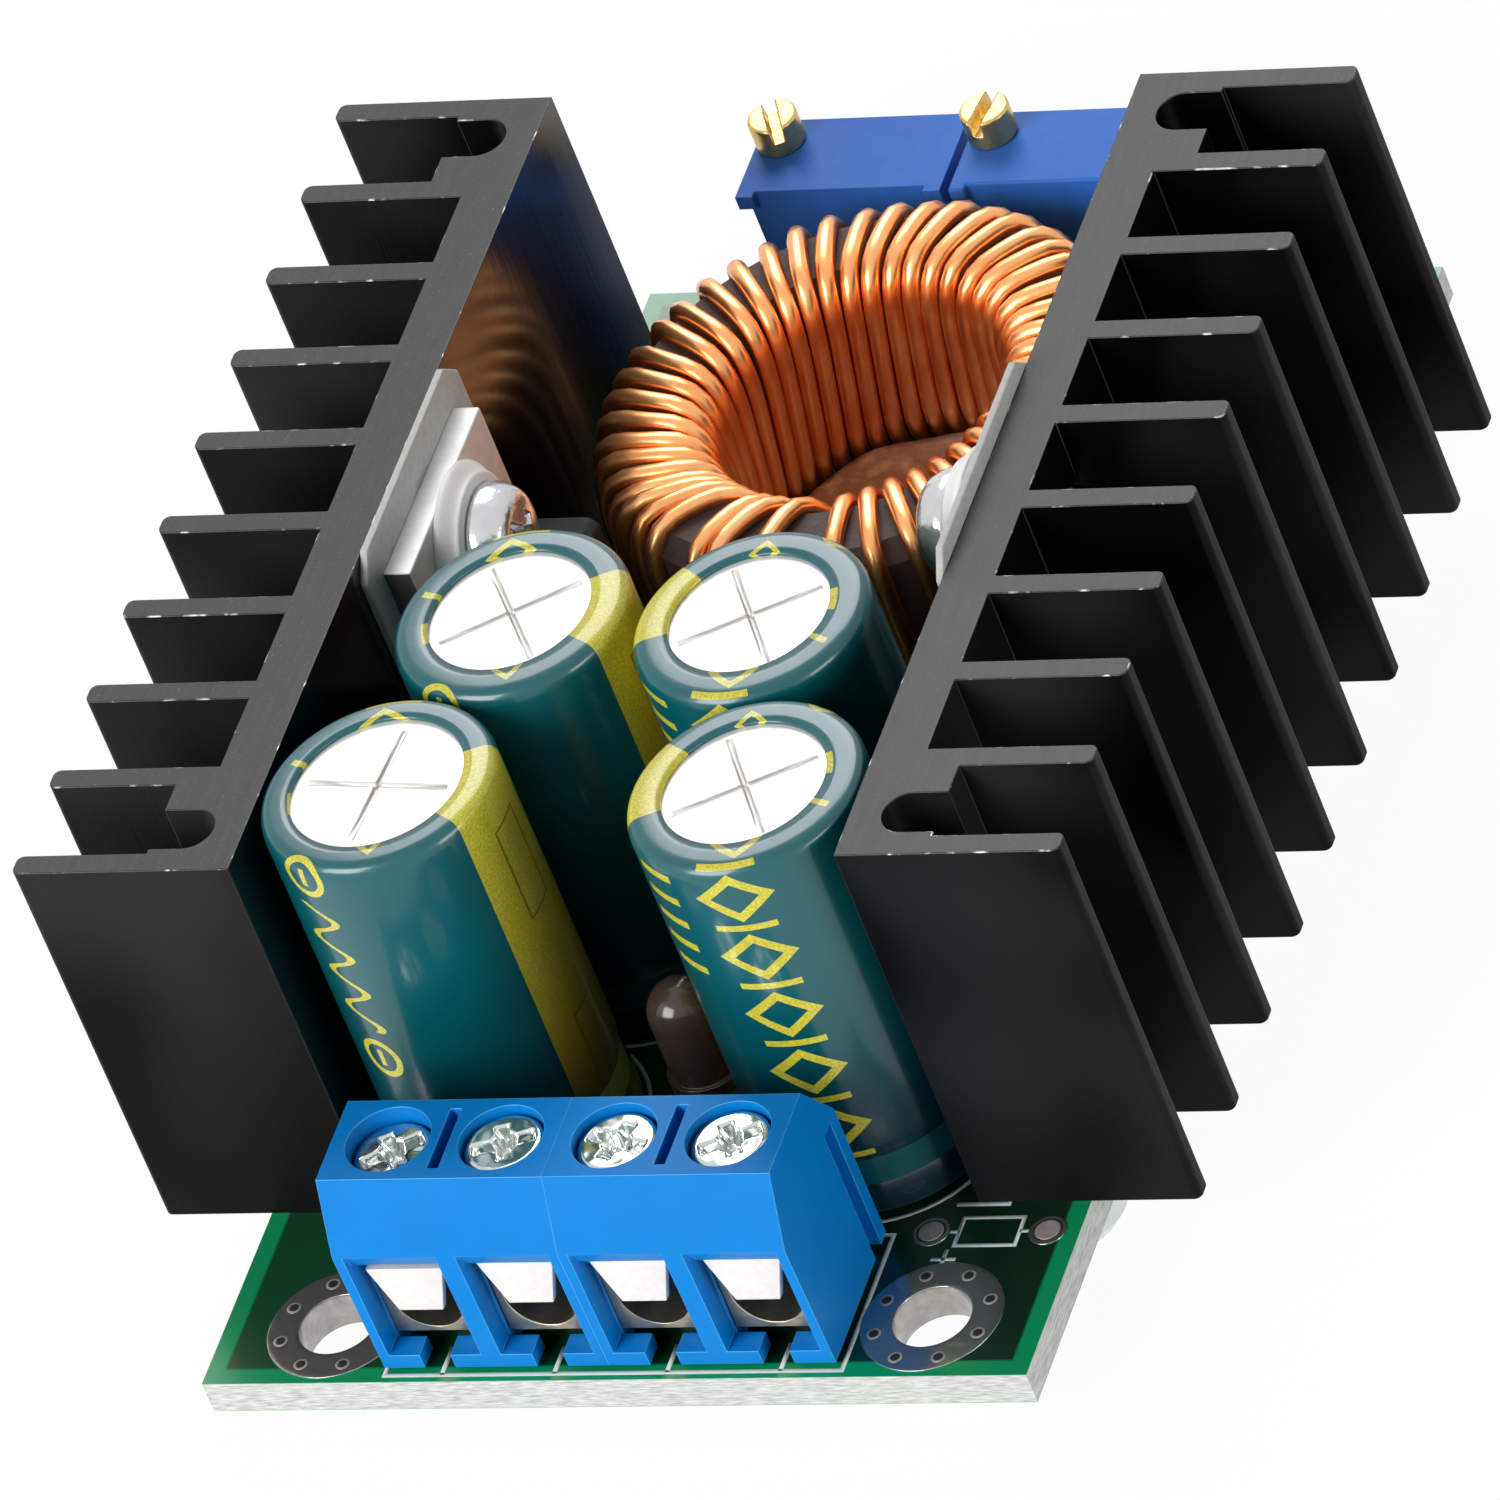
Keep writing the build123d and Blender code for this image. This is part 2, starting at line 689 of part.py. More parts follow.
def coil_core():
    ring = rod(core_outer_r, 0, coil_y, about(coil_mid_z, core_height))
    ring -= rod(core_inner_r, 0, coil_y, about(coil_mid_z, 2 * core_height))
    return chamfer(ring.edges().filter_by(GeomType.CIRCLE), core_edge)


def coil_glue():
    """Low pool of glue that holds the coil to the board."""
    r = coil_hole_r - glue_gap
    pool = turned([(0, board_top), (r, board_top), (r, board_top + glue_height * 0.8),
                   (r * 0.8, board_top + glue_height), (0, board_top + glue_height)])
    return Pos(0, coil_y, 0) * pool


def lamp_lens():
    """Clear lens with a domed tip and a flange at its foot."""
    foot = board_top + lamp_lift
    shoulder = foot + lamp_length - lamp_r
    side = Polyline((0, foot), (lamp_flange_r, foot), (lamp_flange_r, foot + lamp_flange),
                    (lamp_r, foot + lamp_flange), (lamp_r, shoulder))
    dome = CenterArc((0, shoulder), lamp_r, 0, 90)
    middle = Line((0, shoulder + lamp_r), (0, foot))
    return Pos(lamp_offset_x, lamp_y, 0) * revolve(make_face(Plane.XZ * Curve([side, dome, middle])), Axis.Z)


def chip_places():
    """Centres of the two chips, between the capacitors' and the coil's joints."""
    y = (can_back_y + coil_y - coil_r) / 2
    return [(s * chip_spacing / 2, y) for s in (-1, 1)]


def chip_body(x, y):
    return box(about(x, chip_length), about(y, chip_width), (-chip_lift - chip_height, -chip_lift))


def chip_legs(x, y):
    """Gull-wing legs along both long sides of a chip."""
    mid = -chip_lift - chip_height / 2
    t = chip_leg_thickness
    start, end = chip_width / 2, chip_width / 2 + chip_leg_reach
    knee = start + chip_leg_reach * 0.4
    bent = [(start, mid), (knee, mid), (knee, -t), (end, -t), (end, 0), (knee - t, 0),
            (knee - t, mid + t), (start, mid + t)]
    legs = []
    for i in range(chip_legs_per_side):
        leg_x = x + (i - (chip_legs_per_side - 1) / 2) * chip_leg_pitch
        for s in (-1, 1):
            legs.append(Pos(0, y, 0) * along_x([(s * a, b) for a, b in bent], leg_x, chip_leg_width))
    return legs


def chip_passives():
    """Column of small chip resistors and capacitors between the two chips."""
    middle = chip_places()[0][1]
    column = [middle + (i - (passive_count - 1) / 2) * passive_pitch for i in range(passive_count)]
    return [box(about(0, passive_length), about(y, passive_width), (-passive_height, 0)) for y in column]


def current_shunt():
    y = (cage_y + lamp_y) / 2
    return box(about(0, shunt_length), about(y, shunt_width), (-shunt_height, 0))


def write(name, *solids):
    """Write one node, of one solid or of a group of like solids."""
    shape = solids[0] if len(solids) == 1 else Compound(children=list(solids))
    export_step(shape, f"parts/{name}.step")


def write_power_device(side, word, shift, rise):
    write(f"power_device_{word}_pad", on_side(insulating_pad(shift, rise), side))
    write(f"power_device_{word}_tab", on_side(device_tab(), side))
    write(f"power_device_{word}_body", on_side(device_moulding(), side))
    write(f"power_device_{word}_leads", *device_leads(side))
    write(f"power_device_{word}_bushing", on_side(device_bushing(), side))
    write(f"power_device_{word}_screw", on_side(device_screw(), side))


def write_trimmer(side, word):
    middle = trimmer_centre(side)
    pin = (0, board_top + trimmer_standoff)
    pins = [rod(trimmer_pin_r, middle + i * trimmer_pin_pitch, trimmer_y, pin) for i in (-1, 0, 1)]
    write(f"trimmer_{word}_body", trimmer_body(middle))
    write(f"trimmer_{word}_screw", trimmer_screw(middle))
    write(f"trimmer_{word}_leads", *pins)


os.makedirs("parts", exist_ok=True)

write("circuit_board", circuit_board())
write("solder_joints", *solder_joints())
write("heatsink_screws", *[slot_screw(x, y) for x, y in slot_screw_places()])
for side, word in ((-1, "left"), (1, "right")):
    write(f"heatsink_{word}", on_side(heatsink(), side))
    write(f"terminal_housing_{word}", terminal_housing(side))
    write_trimmer(side, word)
write_power_device(-1, "left", pad_left_shift, pad_left_rise)
write_power_device(1, "right", pad_right_shift, pad_right_rise)

for number, x in enumerate(pole_x, start=1):
    lowered = first_screw_sink if number == 1 else 0
    write(f"terminal_cage_{number}", terminal_cage(x))
    write(f"terminal_leaf_{number}", terminal_leaf(x, lowered))
    write(f"terminal_screw_{number}", terminal_screw(x, lowered))

for word, (x, y) in capacitor_places().items():
    pin = (0, board_top + can_standoff)
    pins = [rod(can_pin_r, x + s * can_pin_pitch / 2, y, pin) for s in (-1, 1)]
    write(f"capacitor_{word}_can", Pos(x, y, 0) * capacitor_can())
    write(f"capacitor_{word}_sleeve", Pos(x, y, 0) * capacitor_sleeve())
    write(f"capacitor_{word}_leads", *pins)

write("coil_core", coil_core())
write("coil_winding", tube_along(coil_path(), wire_r, wire_sides))
write("coil_glue", coil_glue())
write("lamp_lens", lamp_lens())
lamp_pins = [rod(lamp_pin_r, lamp_offset_x + s * lamp_pin_pitch / 2, lamp_y, (0, board_top + lamp_lift))
             for s in (-1, 1)]
write("lamp_leads", *lamp_pins)
write("control_chip_bodies", *[chip_body(x, y) for x, y in chip_places()])
write("control_chip_legs", *[leg for x, y in chip_places() for leg in chip_legs(x, y)])
write("chip_passives", *chip_passives())
write("current_shunt", current_shunt())
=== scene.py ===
# %% [markdown]
# # A step-down converter module
# A small power board: two black extruded heatsinks, a ring coil of copper wire, four sleeved
# capacitors, two trimmers and a blue screw terminal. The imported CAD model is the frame: every
# piece made here is worked out in that frame, X across the board, -Y at the screw terminal, Z up,
# with the origin between the corner holes on the board's underside. Sizes below are millimetres,
# and they become metres in the one place where a mesh is filled.

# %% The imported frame
import json
import math

import bmesh
import bpy
import numpy as np
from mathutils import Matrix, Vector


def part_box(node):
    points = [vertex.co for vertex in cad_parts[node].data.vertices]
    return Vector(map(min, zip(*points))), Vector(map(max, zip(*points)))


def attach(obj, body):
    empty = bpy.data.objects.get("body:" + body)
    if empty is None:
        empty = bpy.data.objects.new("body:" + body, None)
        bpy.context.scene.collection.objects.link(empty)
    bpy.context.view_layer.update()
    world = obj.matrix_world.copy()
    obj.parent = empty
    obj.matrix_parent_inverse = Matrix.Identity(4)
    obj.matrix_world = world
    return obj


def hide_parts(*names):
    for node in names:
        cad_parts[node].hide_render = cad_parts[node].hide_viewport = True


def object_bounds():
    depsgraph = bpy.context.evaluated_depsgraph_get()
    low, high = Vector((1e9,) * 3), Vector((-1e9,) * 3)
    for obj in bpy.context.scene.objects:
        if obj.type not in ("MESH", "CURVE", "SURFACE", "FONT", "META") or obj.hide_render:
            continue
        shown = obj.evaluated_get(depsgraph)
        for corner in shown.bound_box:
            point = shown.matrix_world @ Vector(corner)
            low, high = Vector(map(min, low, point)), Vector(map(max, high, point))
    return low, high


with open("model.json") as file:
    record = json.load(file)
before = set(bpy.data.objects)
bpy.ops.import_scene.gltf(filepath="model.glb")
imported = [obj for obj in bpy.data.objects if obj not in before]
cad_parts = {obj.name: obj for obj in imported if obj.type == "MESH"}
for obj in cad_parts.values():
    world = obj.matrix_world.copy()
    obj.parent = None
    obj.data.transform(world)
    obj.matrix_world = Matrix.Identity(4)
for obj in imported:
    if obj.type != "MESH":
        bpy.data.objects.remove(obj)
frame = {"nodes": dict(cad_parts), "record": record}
cad_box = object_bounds()

MM = 0.001
record = frame["record"]
body_of = {node: body for body, nodes in record["behaviour"]["bodies"].items() for node in nodes}
rng = np.random.default_rng(11)


def limits(node):
    """Lowest and highest corner of a CAD node, in millimetres."""
    low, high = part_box(node)
    return np.array(low) / MM, np.array(high) / MM


# %% [markdown]
# ## Camera
# The photograph was taken from high on the right with a long lens, so parallel edges stay almost
# parallel. The place, the turn and the focal length were solved from the known sizes of the
# terminal, the capacitors and the trimmers, and are written down here as plain numbers.

# %% Camera
FOCAL_PIXELS = 21194.5
IMAGE_PIXELS = 1500
CAMERA_PLACE = (361.295, -583.611, 565.376)
CAMERA_TURN = (48.5344, 17.5624, 17.0043)

lens = bpy.data.cameras.new("camera")
lens.sensor_width = 36
lens.lens = lens.sensor_width * FOCAL_PIXELS / IMAGE_PIXELS
lens.clip_start = 0.2
lens.clip_end = 5
camera = bpy.data.objects.new("camera", lens)
camera.location = [c * MM for c in CAMERA_PLACE]
camera.rotation_euler = [math.radians(a) for a in CAMERA_TURN]
bpy.context.collection.objects.link(camera)
bpy.context.scene.camera = camera
print("lens", round(lens.lens), "mm")

# %% [markdown]
# ## Writing materials as sums
# A finish is a small network of nodes. Reading one is easier when it is written as a sum, so a
# node's output is wrapped in a class whose plus, minus, times and comparisons each add the Math
# node that does it. Everything else a network needs comes from one method that takes the kind of
# node, its settings and its inputs.

# %% Sums of fields


class Field:
    """A number, a place or a colour that changes over a surface: one output of one node."""

    def __init__(self, finish, socket):
        self.finish = finish
        self.socket = socket

    def maths(self, operation, *values):
        return self.finish.node("Math", {"operation": operation}, dict(enumerate(values)))

    def __add__(self, other):
        return self.maths("ADD", self, other)

    def __sub__(self, other):
        return self.maths("SUBTRACT", self, other)

    def __rsub__(self, other):
        return self.maths("SUBTRACT", other, self)

    def __mul__(self, other):
        return self.maths("MULTIPLY", self, other)

    def __truediv__(self, other):
        return self.maths("DIVIDE", self, other)

    def __lt__(self, other):
        return self.maths("LESS_THAN", self, other)

    def __gt__(self, other):
        return self.maths("GREATER_THAN", self, other)

    def __and__(self, other):
        return self.maths("MINIMUM", self, other)

    def __or__(self, other):
        return self.maths("MAXIMUM", self, other)

    def __abs__(self):
        return self.maths("ABSOLUTE", self)

    __radd__ = __add__
    __rmul__ = __mul__


# %% [markdown]
# Tones are read off the photograph as 0 to 255, the way a paint program shows them. Shaders reckon
# in light instead, so each tone is turned into light once, here. A finish then offers the few
# nodes that this object needs: the place on the object in millimetres, a noise of a stated grain,
# a mix of two colours and a bump. No real surface is one flat colour, and most small pieces need
# no more than one noise, so a function makes that common finish in a line or two.

# %% A finish


def tone(red, green, blue):
    """Light of a tone read from 0 to 255: v/12.92 below 0.04045, else ((v + 0.055)/1.055)^2.4."""
    v = np.array([red, green, blue]) / 255
    light = np.where(v < 0.04045, v / 12.92, ((v + 0.055) / 1.055) ** 2.4)
    return (*light.tolist(), 1.0)


class Finish:
    """A material: its node network round one Principled shader."""

    def __init__(self, name, sockets):
        self.material = bpy.data.materials.new(name)
        self.material.use_nodes = True
        self.tree = self.material.node_tree
        self.shader = self.tree.nodes["Principled BSDF"]
        self.feed(self.shader, sockets)

    def feed(self, node, inputs):
        for key, value in inputs.items():
            if isinstance(value, Field):
                self.tree.links.new(value.socket, node.inputs[key])
            else:
                node.inputs[key].default_value = value

    def node(self, kind, settings, inputs, output=0):
        made = self.tree.nodes.new("ShaderNode" + kind)
        for key, value in settings.items():
            setattr(made, key, value)
        self.feed(made, inputs)
        return Field(self, made.outputs[output])

    def set(self, **sockets):
        """Feeds the shader: set(Base_Color=..., Roughness=...)."""
        self.feed(self.shader, {key.replace("_", " "): value for key, value in sockets.items()})

    def place(self, stretch=(1, 1, 1)):
        """The place on the object in millimetres, each axis times its stretch."""
        socket = self.node("TexCoord", {}, {}, "Object")
        scale = [s / MM for s in stretch]
        return self.node("VectorMath", {"operation": "MULTIPLY"}, {0: socket, 1: scale})

    def axes(self, place):
        """The three numbers of a place."""
        return [self.node("SeparateXYZ", {}, {0: place}, axis) for axis in "XYZ"]

    def noise(self, grain, detail=3.0, stretch=(1, 1, 1)):
        """Noise from 0 to 1 about a middle of 0.5, its lumps one grain across, in millimetres."""
        inputs = {"Vector": self.place(stretch), "Scale": 1 / grain, "Detail": detail}
        return self.node("TexNoise", {}, inputs)

    def ramp(self, field, low, high):
        """0 below low, 1 above high and a straight rise between."""
        return self.node("MapRange", {}, {"Value": field, "From Min": low, "From Max": high})

    def mix(self, factor, first, second):
        inputs = {0: factor, 6: first, 7: second}
        return self.node("Mix", {"data_type": "RGBA"}, inputs, 2)

    def bump(self, height, depth):
        """Normal of a relief whose height runs from 0 to 1 over a depth in millimetres."""
        return self.node("Bump", {}, {"Height": height, "Distance": depth * MM, "Strength": 1.0})


def mottled(name, sockets, grain, tones, rough, relief=None, rough_grain=None):
    """Finish of a noise n of a grain: two tones mixed by n, a relief in millimetres that follows n,
    and a roughness that is a number, or a + b n for a pair (a, b). With a rough_grain the roughness
    follows a noise of its own."""
    made = Finish(name, sockets)
    clouds = made.noise(*grain)
    made.set(Base_Color=made.mix(clouds, *tones))
    if isinstance(rough, tuple):
        patches = made.noise(rough_grain) if rough_grain else clouds
        rough = rough[0] + patches * rough[1]
    made.set(Roughness=rough)
    if relief:
        made.set(Normal=made.bump(clouds, relief))
    return made


print("tone 128 is light", round(tone(128, 128, 128)[0], 3))

# %% [markdown]
# ## Surfaces on a grid
# Nearly every new piece is a grid of points bent into shape: rows run along a profile or a path,
# and columns run round it. Whole arrays are reckoned at once, and one function turns a grid into
# a mesh. Rows that shrink to a point close the ends, and the doubled points there are merged.

# %% From grids to a mesh


def skin(name, grids, uv=None, groove_shade=None):
    """Mesh over grids of points p[i, j]: each face joins p[i, j], p[i, j+1], p[i+1, j+1], p[i+1, j],
    and the last column joins the first. uv gives the columns' and rows' own values for a UV map, and
    the last argument a number of painted shade for each point, kept as an attribute that a finish can
    read."""
    points, faces, start = [], [], 0
    for grid in grids:
        rows, columns = grid.shape[:2]
        index = start + np.arange(rows * columns).reshape(rows, columns)
        index = np.concatenate([index, index[:, :1]], axis=1)
        quads = [index[:-1, :-1], index[:-1, 1:], index[1:, 1:], index[1:, :-1]]
        faces.append(np.stack(quads, axis=-1).reshape(-1, 4))
        points.append(grid.reshape(-1, 3))
        start += rows * columns
    mesh = bpy.data.meshes.new(name)
    mesh.from_pydata(np.concatenate(points) * MM, [], np.concatenate(faces))
    if groove_shade is not None:
        mesh.attributes.new("groove_shade", "FLOAT", "POINT").data.foreach_set("value", groove_shade.ravel())
    if uv:
        column, row = uv
        u = np.stack([column[:-1], column[1:], column[1:], column[:-1]], axis=-1)
        v = np.stack([row[:-1], row[:-1], row[1:], row[1:]], axis=-1)
        shape = (len(row) - 1, len(column) - 1, 4)
        pairs = np.stack([np.broadcast_to(u[None], shape), np.broadcast_to(v[:, None], shape)], axis=-1)
        mesh.uv_layers.new(name="wrap").data.foreach_set("uv", pairs.astype(np.float32).ravel())
    work = bmesh.new()
    work.from_mesh(mesh)
    bmesh.ops.remove_doubles(work, verts=work.verts, dist=1e-7)
    work.to_mesh(mesh)
    work.free()
    mesh.polygons.foreach_set("use_smooth", np.ones(len(mesh.polygons), bool))
    return bpy.data.objects.new(name, mesh)


def show(piece, finishes, body, nodes=()):
    """Puts a piece in the scene with its finishes, on its body, in place of the CAD nodes named."""
    bpy.context.collection.objects.link(piece)
    for finish in finishes:
        piece.data.materials.append(finish.material)
    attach(piece, body)
    if nodes:
        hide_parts(*nodes)
    return piece


def show_for(piece, finishes, node):
    """Shows a piece that stands for one CAD node, on that node's body, and hides the node."""
    return show(piece, finishes, body_of[node], [node])


# %% [markdown]
# Turned pieces such as cans, sleeves and screws share three steps: an outline with rounded
# corners, long runs cut short so that shading stays even, and the turn about an upright axis.
# A recess is then pressed in: where the recess surface lies lower than the piece, the point drops
# to it. That one rule makes a slot, a cross or a scored line.

# %% Outlines and turned pieces


def rounded(corners, radius, steps=5):
    """Outline through corners. Each inner corner c becomes (1-t)^2 a + 2t(1-t) c + t^2 b, where a
    and b lie one radius from c along its two sides, or under half a side where that is less."""
    corners = np.asarray(corners, float)
    t = np.linspace(0, 1, steps)[:, None]
    line = [corners[:1]]
    for before, corner, after in zip(corners, corners[1:], corners[2:]):
        sides = []
        for end in (before, after):
            side = end - corner
            length = np.linalg.norm(side)
            sides.append(corner + side / length * min(radius, 0.45 * length))
        line.append((1 - t) ** 2 * sides[0] + 2 * t * (1 - t) * corner + t ** 2 * sides[1])
    line.append(corners[-1:])
    return np.concatenate(line)


def divided(line, step):
    """The same outline, each run longer than a step cut into equal pieces of at most a step."""
    runs = []
    for start, end in zip(line, line[1:]):
        count = max(1, math.ceil(np.linalg.norm(end - start) / step))
        runs.append(start + (end - start) * np.arange(count)[:, None] / count)
    return np.concatenate(runs + [line[-1:]])


def turned(outline, centre, sides, start=0.0):
    """p[i, j] = (x + r_i cos t_j, y + r_i sin t_j, z_i): an outline of (r, z) carried round."""
    radius, height = np.asarray(outline, float).T
    angle = start + np.linspace(0, 2 * np.pi, sides, endpoint=False)
    x = centre[0] + np.outer(radius, np.cos(angle))
    y = centre[1] + np.outer(radius, np.sin(angle))
    return np.stack([x, y, np.outer(height, np.ones(sides))], axis=-1)


def pressed(grid, floor):
    """The grid with each height no more than the floor(x, y) of a recess."""
    out = grid.copy()
    out[..., 2] = np.minimum(grid[..., 2], floor(grid[..., 0], grid[..., 1]))
    return out


def swung(x, y, angle):
    """The same places along axes turned by an angle: x cos + y sin, and y cos - x sin."""
    return x * math.cos(angle) + y * math.sin(angle), y * math.cos(angle) - x * math.sin(angle)


def bar(x, y, length, width, slope):
    """1 inside a bar along x, falling to 0 at its edge over a slope, and 0 outside."""
    inside = np.minimum(width / 2 - abs(y), length / 2 - abs(x))
    return np.clip(inside / slope, 0, 1)


# %% [markdown]
# Moulded, sawn and stamped pieces keep the CAD solid's shape. A real edge is never quite sharp
# and catches a thin line of light, so a copy of the mesh is merged into whole faces and a Bevel
# modifier rounds its edges. The bevel's own faces can have a finish of their own.

# %% Copies of CAD pieces with soft edges


def softened(node, width, edge=-1, sort=None):
    """Copy of a CAD mesh with its edges rounded over a width. sort(normals, middles) gives the
    finish number of each face, and edge is the finish number of the rounding."""
    mesh = frame["nodes"][node].data.copy()
    mesh.materials.clear()
    work = bmesh.new()
    work.from_mesh(mesh)
    bmesh.ops.remove_doubles(work, verts=work.verts, dist=1e-6)
    bmesh.ops.dissolve_limit(work, angle_limit=math.radians(1), verts=work.verts, edges=work.edges)
    work.to_mesh(mesh)
    work.free()
    count = len(mesh.polygons)
    number = np.zeros(count, int)
    if sort:
        normals, middles = np.zeros(count * 3), np.zeros(count * 3)
        mesh.polygons.foreach_get("normal", normals)
        mesh.polygons.foreach_get("center", middles)
        number = sort(normals.reshape(-1, 3), middles.reshape(-1, 3) / MM)
    mesh.polygons.foreach_set("material_index", number)
    mesh.polygons.foreach_set("use_smooth", np.ones(count, bool))
    piece = bpy.data.objects.new(node + "_shown", mesh)
    bevel = piece.modifiers.new("soft_edges", "BEVEL")
    bevel.width = width * MM
    bevel.segments = 2
    bevel.limit_method = "ANGLE"
    bevel.angle_limit = math.radians(40)
    bevel.material = edge
    weigh = piece.modifiers.new("even_faces", "WEIGHTED_NORMAL")
    weigh.mode = "FACE_AREA"
    weigh.weight = 100
    return piece


# %% [markdown]
# ## Black anodised heatsinks
# Each sink is one extrusion sawn to height. Its sides keep the die's fine lines along Z and are
# nearly black. The sawn top is a dark matt grey, a little paler towards the right, with fine
# scratches. Its top edges are chipped to bright metal, and the bright patches there are partly a
# painted highlight along the edges. The inner face, polished by the die, mirrors the coil. Four
# finishes on one piece tell these apart, which is simpler than four pieces.

# %% Heatsink finishes
sink_side = Finish("heatsink_side", {"Specular IOR Level": 0.07})
lines = sink_side.noise(0.12, 4, (1, 1, 0.006))
clouds = sink_side.noise(11.0, 1, (1, 1, 0.7))
sink_side.set(
    Base_Color=sink_side.mix(sink_side.ramp(clouds, 0.42, 0.68), tone(4, 4, 4), tone(36, 36, 37)),
    Roughness=0.34 + clouds * 0.2,
    Normal=sink_side.bump(lines, 0.012),
)

sink_inner = Finish("heatsink_inner_face", {"Specular IOR Level": 0.8})
streaks = sink_inner.noise(0.3, 3, (1, 1, 0.02))
along_sink = sink_inner.axes(sink_inner.place())[1]
sink_inner.set(
    Base_Color=sink_inner.mix(streaks, tone(6, 6, 6), tone(14, 13, 13)),
    Roughness=0.13 + streaks * 0.1 + sink_inner.ramp(along_sink, 21.0, 27.0) * 0.35,
    Normal=sink_inner.bump(streaks, 0.004),
)

sink_sawn = Finish("heatsink_sawn_top", {"Specular IOR Level": 0.3})
specks = sink_sawn.noise(0.09, 2)
scratches = sink_sawn.noise(0.25, 3, (1, 0.08, 1))
across_board = sink_sawn.axes(sink_sawn.place())[0]
shade = sink_sawn.ramp(across_board, -18.0, 18.0) * 0.6 + scratches * 0.5
grey = sink_sawn.mix(sink_sawn.ramp(shade, 0.0, 1.0), tone(44, 44, 45), tone(84, 84, 84))
sink_sawn.set(
    Base_Color=sink_sawn.mix(sink_sawn.ramp(specks, 0.66, 0.72), grey, tone(120, 120, 118)),
    Roughness=0.5 + specks * 0.15,
    Normal=sink_sawn.bump(scratches, 0.008),
)

sink_edge = Finish("heatsink_edge", {"Specular IOR Level": 0.4})
chips = sink_edge.noise(0.9, 6)
top_of_sink = limits("heatsink_left")[1][2]
height = sink_edge.axes(sink_edge.place())[2]
# Bright patches on the top edges: partly metal chips, partly a painted highlight along the edges.
chips_and_painted_highlight = sink_edge.ramp(chips, 0.57, 0.66) & (height > top_of_sink - 0.12)
sink_edge.set(
    Base_Color=sink_edge.mix(chips_and_painted_highlight, tone(20, 20, 21), tone(176, 176, 174)),
    Metallic=chips_and_painted_highlight * 0.6,
    Roughness=0.42,
)
print("sawn top at", top_of_sink, "mm")

# %% [markdown]
# The faces are sorted by the way they point: up or down is sawn, towards the middle of the board
# at the spine's plane is the inner face, and the rest are sides.

# %% Heatsinks


def sink_faces(normals, middles):
    """0 side, 1 sawn top and bottom, 2 inner face: the one whose plane is nearest the middle."""
    sawn = abs(normals[:, 2]) > 0.9
    nearest = abs(middles[:, 0]) < abs(middles[:, 0]).min() + 0.1
    facing = normals[:, 0] * np.sign(middles[:, 0]) < -0.9
    return np.where(sawn, 1, np.where(nearest & facing, 2, 0))


for side in ("left", "right"):
    node = f"heatsink_{side}"
    piece = softened(node, 0.07, edge=3, sort=sink_faces)
    show_for(piece, [sink_side, sink_sawn, sink_inner, sink_edge], node)
print("heatsinks dressed")

# %% [markdown]
# ## Circuit board
# Green solder mask over a copper pour, with a brighter border where the pour ends, and pale cut
# edges of glass cloth. The mask on the object is thin and glossy, so it is a clear coat over
# the colour. One material does all of it: the place on the board says which colour is meant, so
# the CAD node keeps its own mesh.

# %% Board finish
board_low, board_high = limits("circuit_board")
board_mask = Finish("board_mask", {"Coat Weight": 0.35, "Coat Roughness": 0.12})
x, y, z = board_mask.axes(board_mask.place())
inset = (board_high[0] - abs(x)) & (board_high[1] - abs(y))
pour = board_mask.ramp(inset, 0.75, 0.9)
cloth = board_mask.ramp(board_mask.noise(0.7, 4, (1, 1, 9)), 0.3, 0.7)
cut_edge = board_mask.mix(cloth, tone(222, 223, 219), tone(160, 163, 158))
face = (z > board_high[2] - 0.02) | (z < board_low[2] + 0.02)
pour_tone = board_mask.mix(board_mask.ramp(x, -8.0, 14.0), tone(0, 66, 32), tone(2, 34, 16))
mask = board_mask.mix(pour, tone(0, 158, 96), pour_tone)
mask = board_mask.mix(board_mask.noise(9.0) * 0.3, mask, tone(0, 46, 22))
board_mask.set(
    Base_Color=board_mask.mix(face, cut_edge, mask),
    Roughness=0.3 + (1 - face) * 0.3,
)
frame["nodes"]["circuit_board"].data.materials.clear()
frame["nodes"]["circuit_board"].data.materials.append(board_mask.material)
print("board", board_low.round(2), board_high.round(2))

# %% [markdown]
# The printed lines are thin raised strokes, like ink: a flat band carried along a path. There is
# an outline of the terminal with a short line at each pole, a ring round each capacitor, a
# resistor's sign and a plain plus. Bands of real thickness stay sharp close up, and need no image.

# %% Board print
INK = 0.03
FINE, MIDDLING, BOLD = 0.17, 0.18, 0.2
CAP_RING_R = 5.35
top = board_high[2]


def stroke(path, width, closed=False):
    """Flat band along a path of (x, y): each point moved half a width to either side of the mean
    direction of its two runs, at the board and one ink's thickness above it."""
    path = np.asarray(path, float)
    if closed:
        path = np.concatenate([path[-1:], path, path[:2]])
    ahead = np.diff(path, axis=0)
    ahead /= np.linalg.norm(ahead, axis=1)[:, None]
    ahead = np.concatenate([ahead[:1], ahead, ahead[-1:]])
    mean = ahead[:-1] + ahead[1:]
    across = np.stack([-mean[:, 1], mean[:, 0]], axis=1)
    across *= width / (across * np.stack([-ahead[1:, 1], ahead[1:, 0]], axis=1)).sum(1)[:, None] / 2
    if closed:
        path, across = path[1:-1], across[1:-1]
    low, high = np.full(len(path), top), np.full(len(path), top + INK)
    right, left = path - across, path + across
    ring = [np.column_stack(c) for c in ((left, low), (right, low), (right, high), (left, high))]
    grid = np.stack(ring, axis=1)
    if closed:
        return grid
    ends = [np.repeat(grid[i].mean(0)[None, None], 4, axis=1) for i in (0, -1)]
    return np.concatenate([ends[0], grid, ends[1]])


def circle(x, y, radius, steps=72):
    """Points (x + r cos t, y + r sin t)."""
    t = np.linspace(0, 2 * np.pi, steps, endpoint=False)
    return np.stack([x + radius * np.cos(t), y + radius * np.sin(t)], axis=1)


def middle_of(node):
    low, high = limits(node)
    return (low + high) / 2


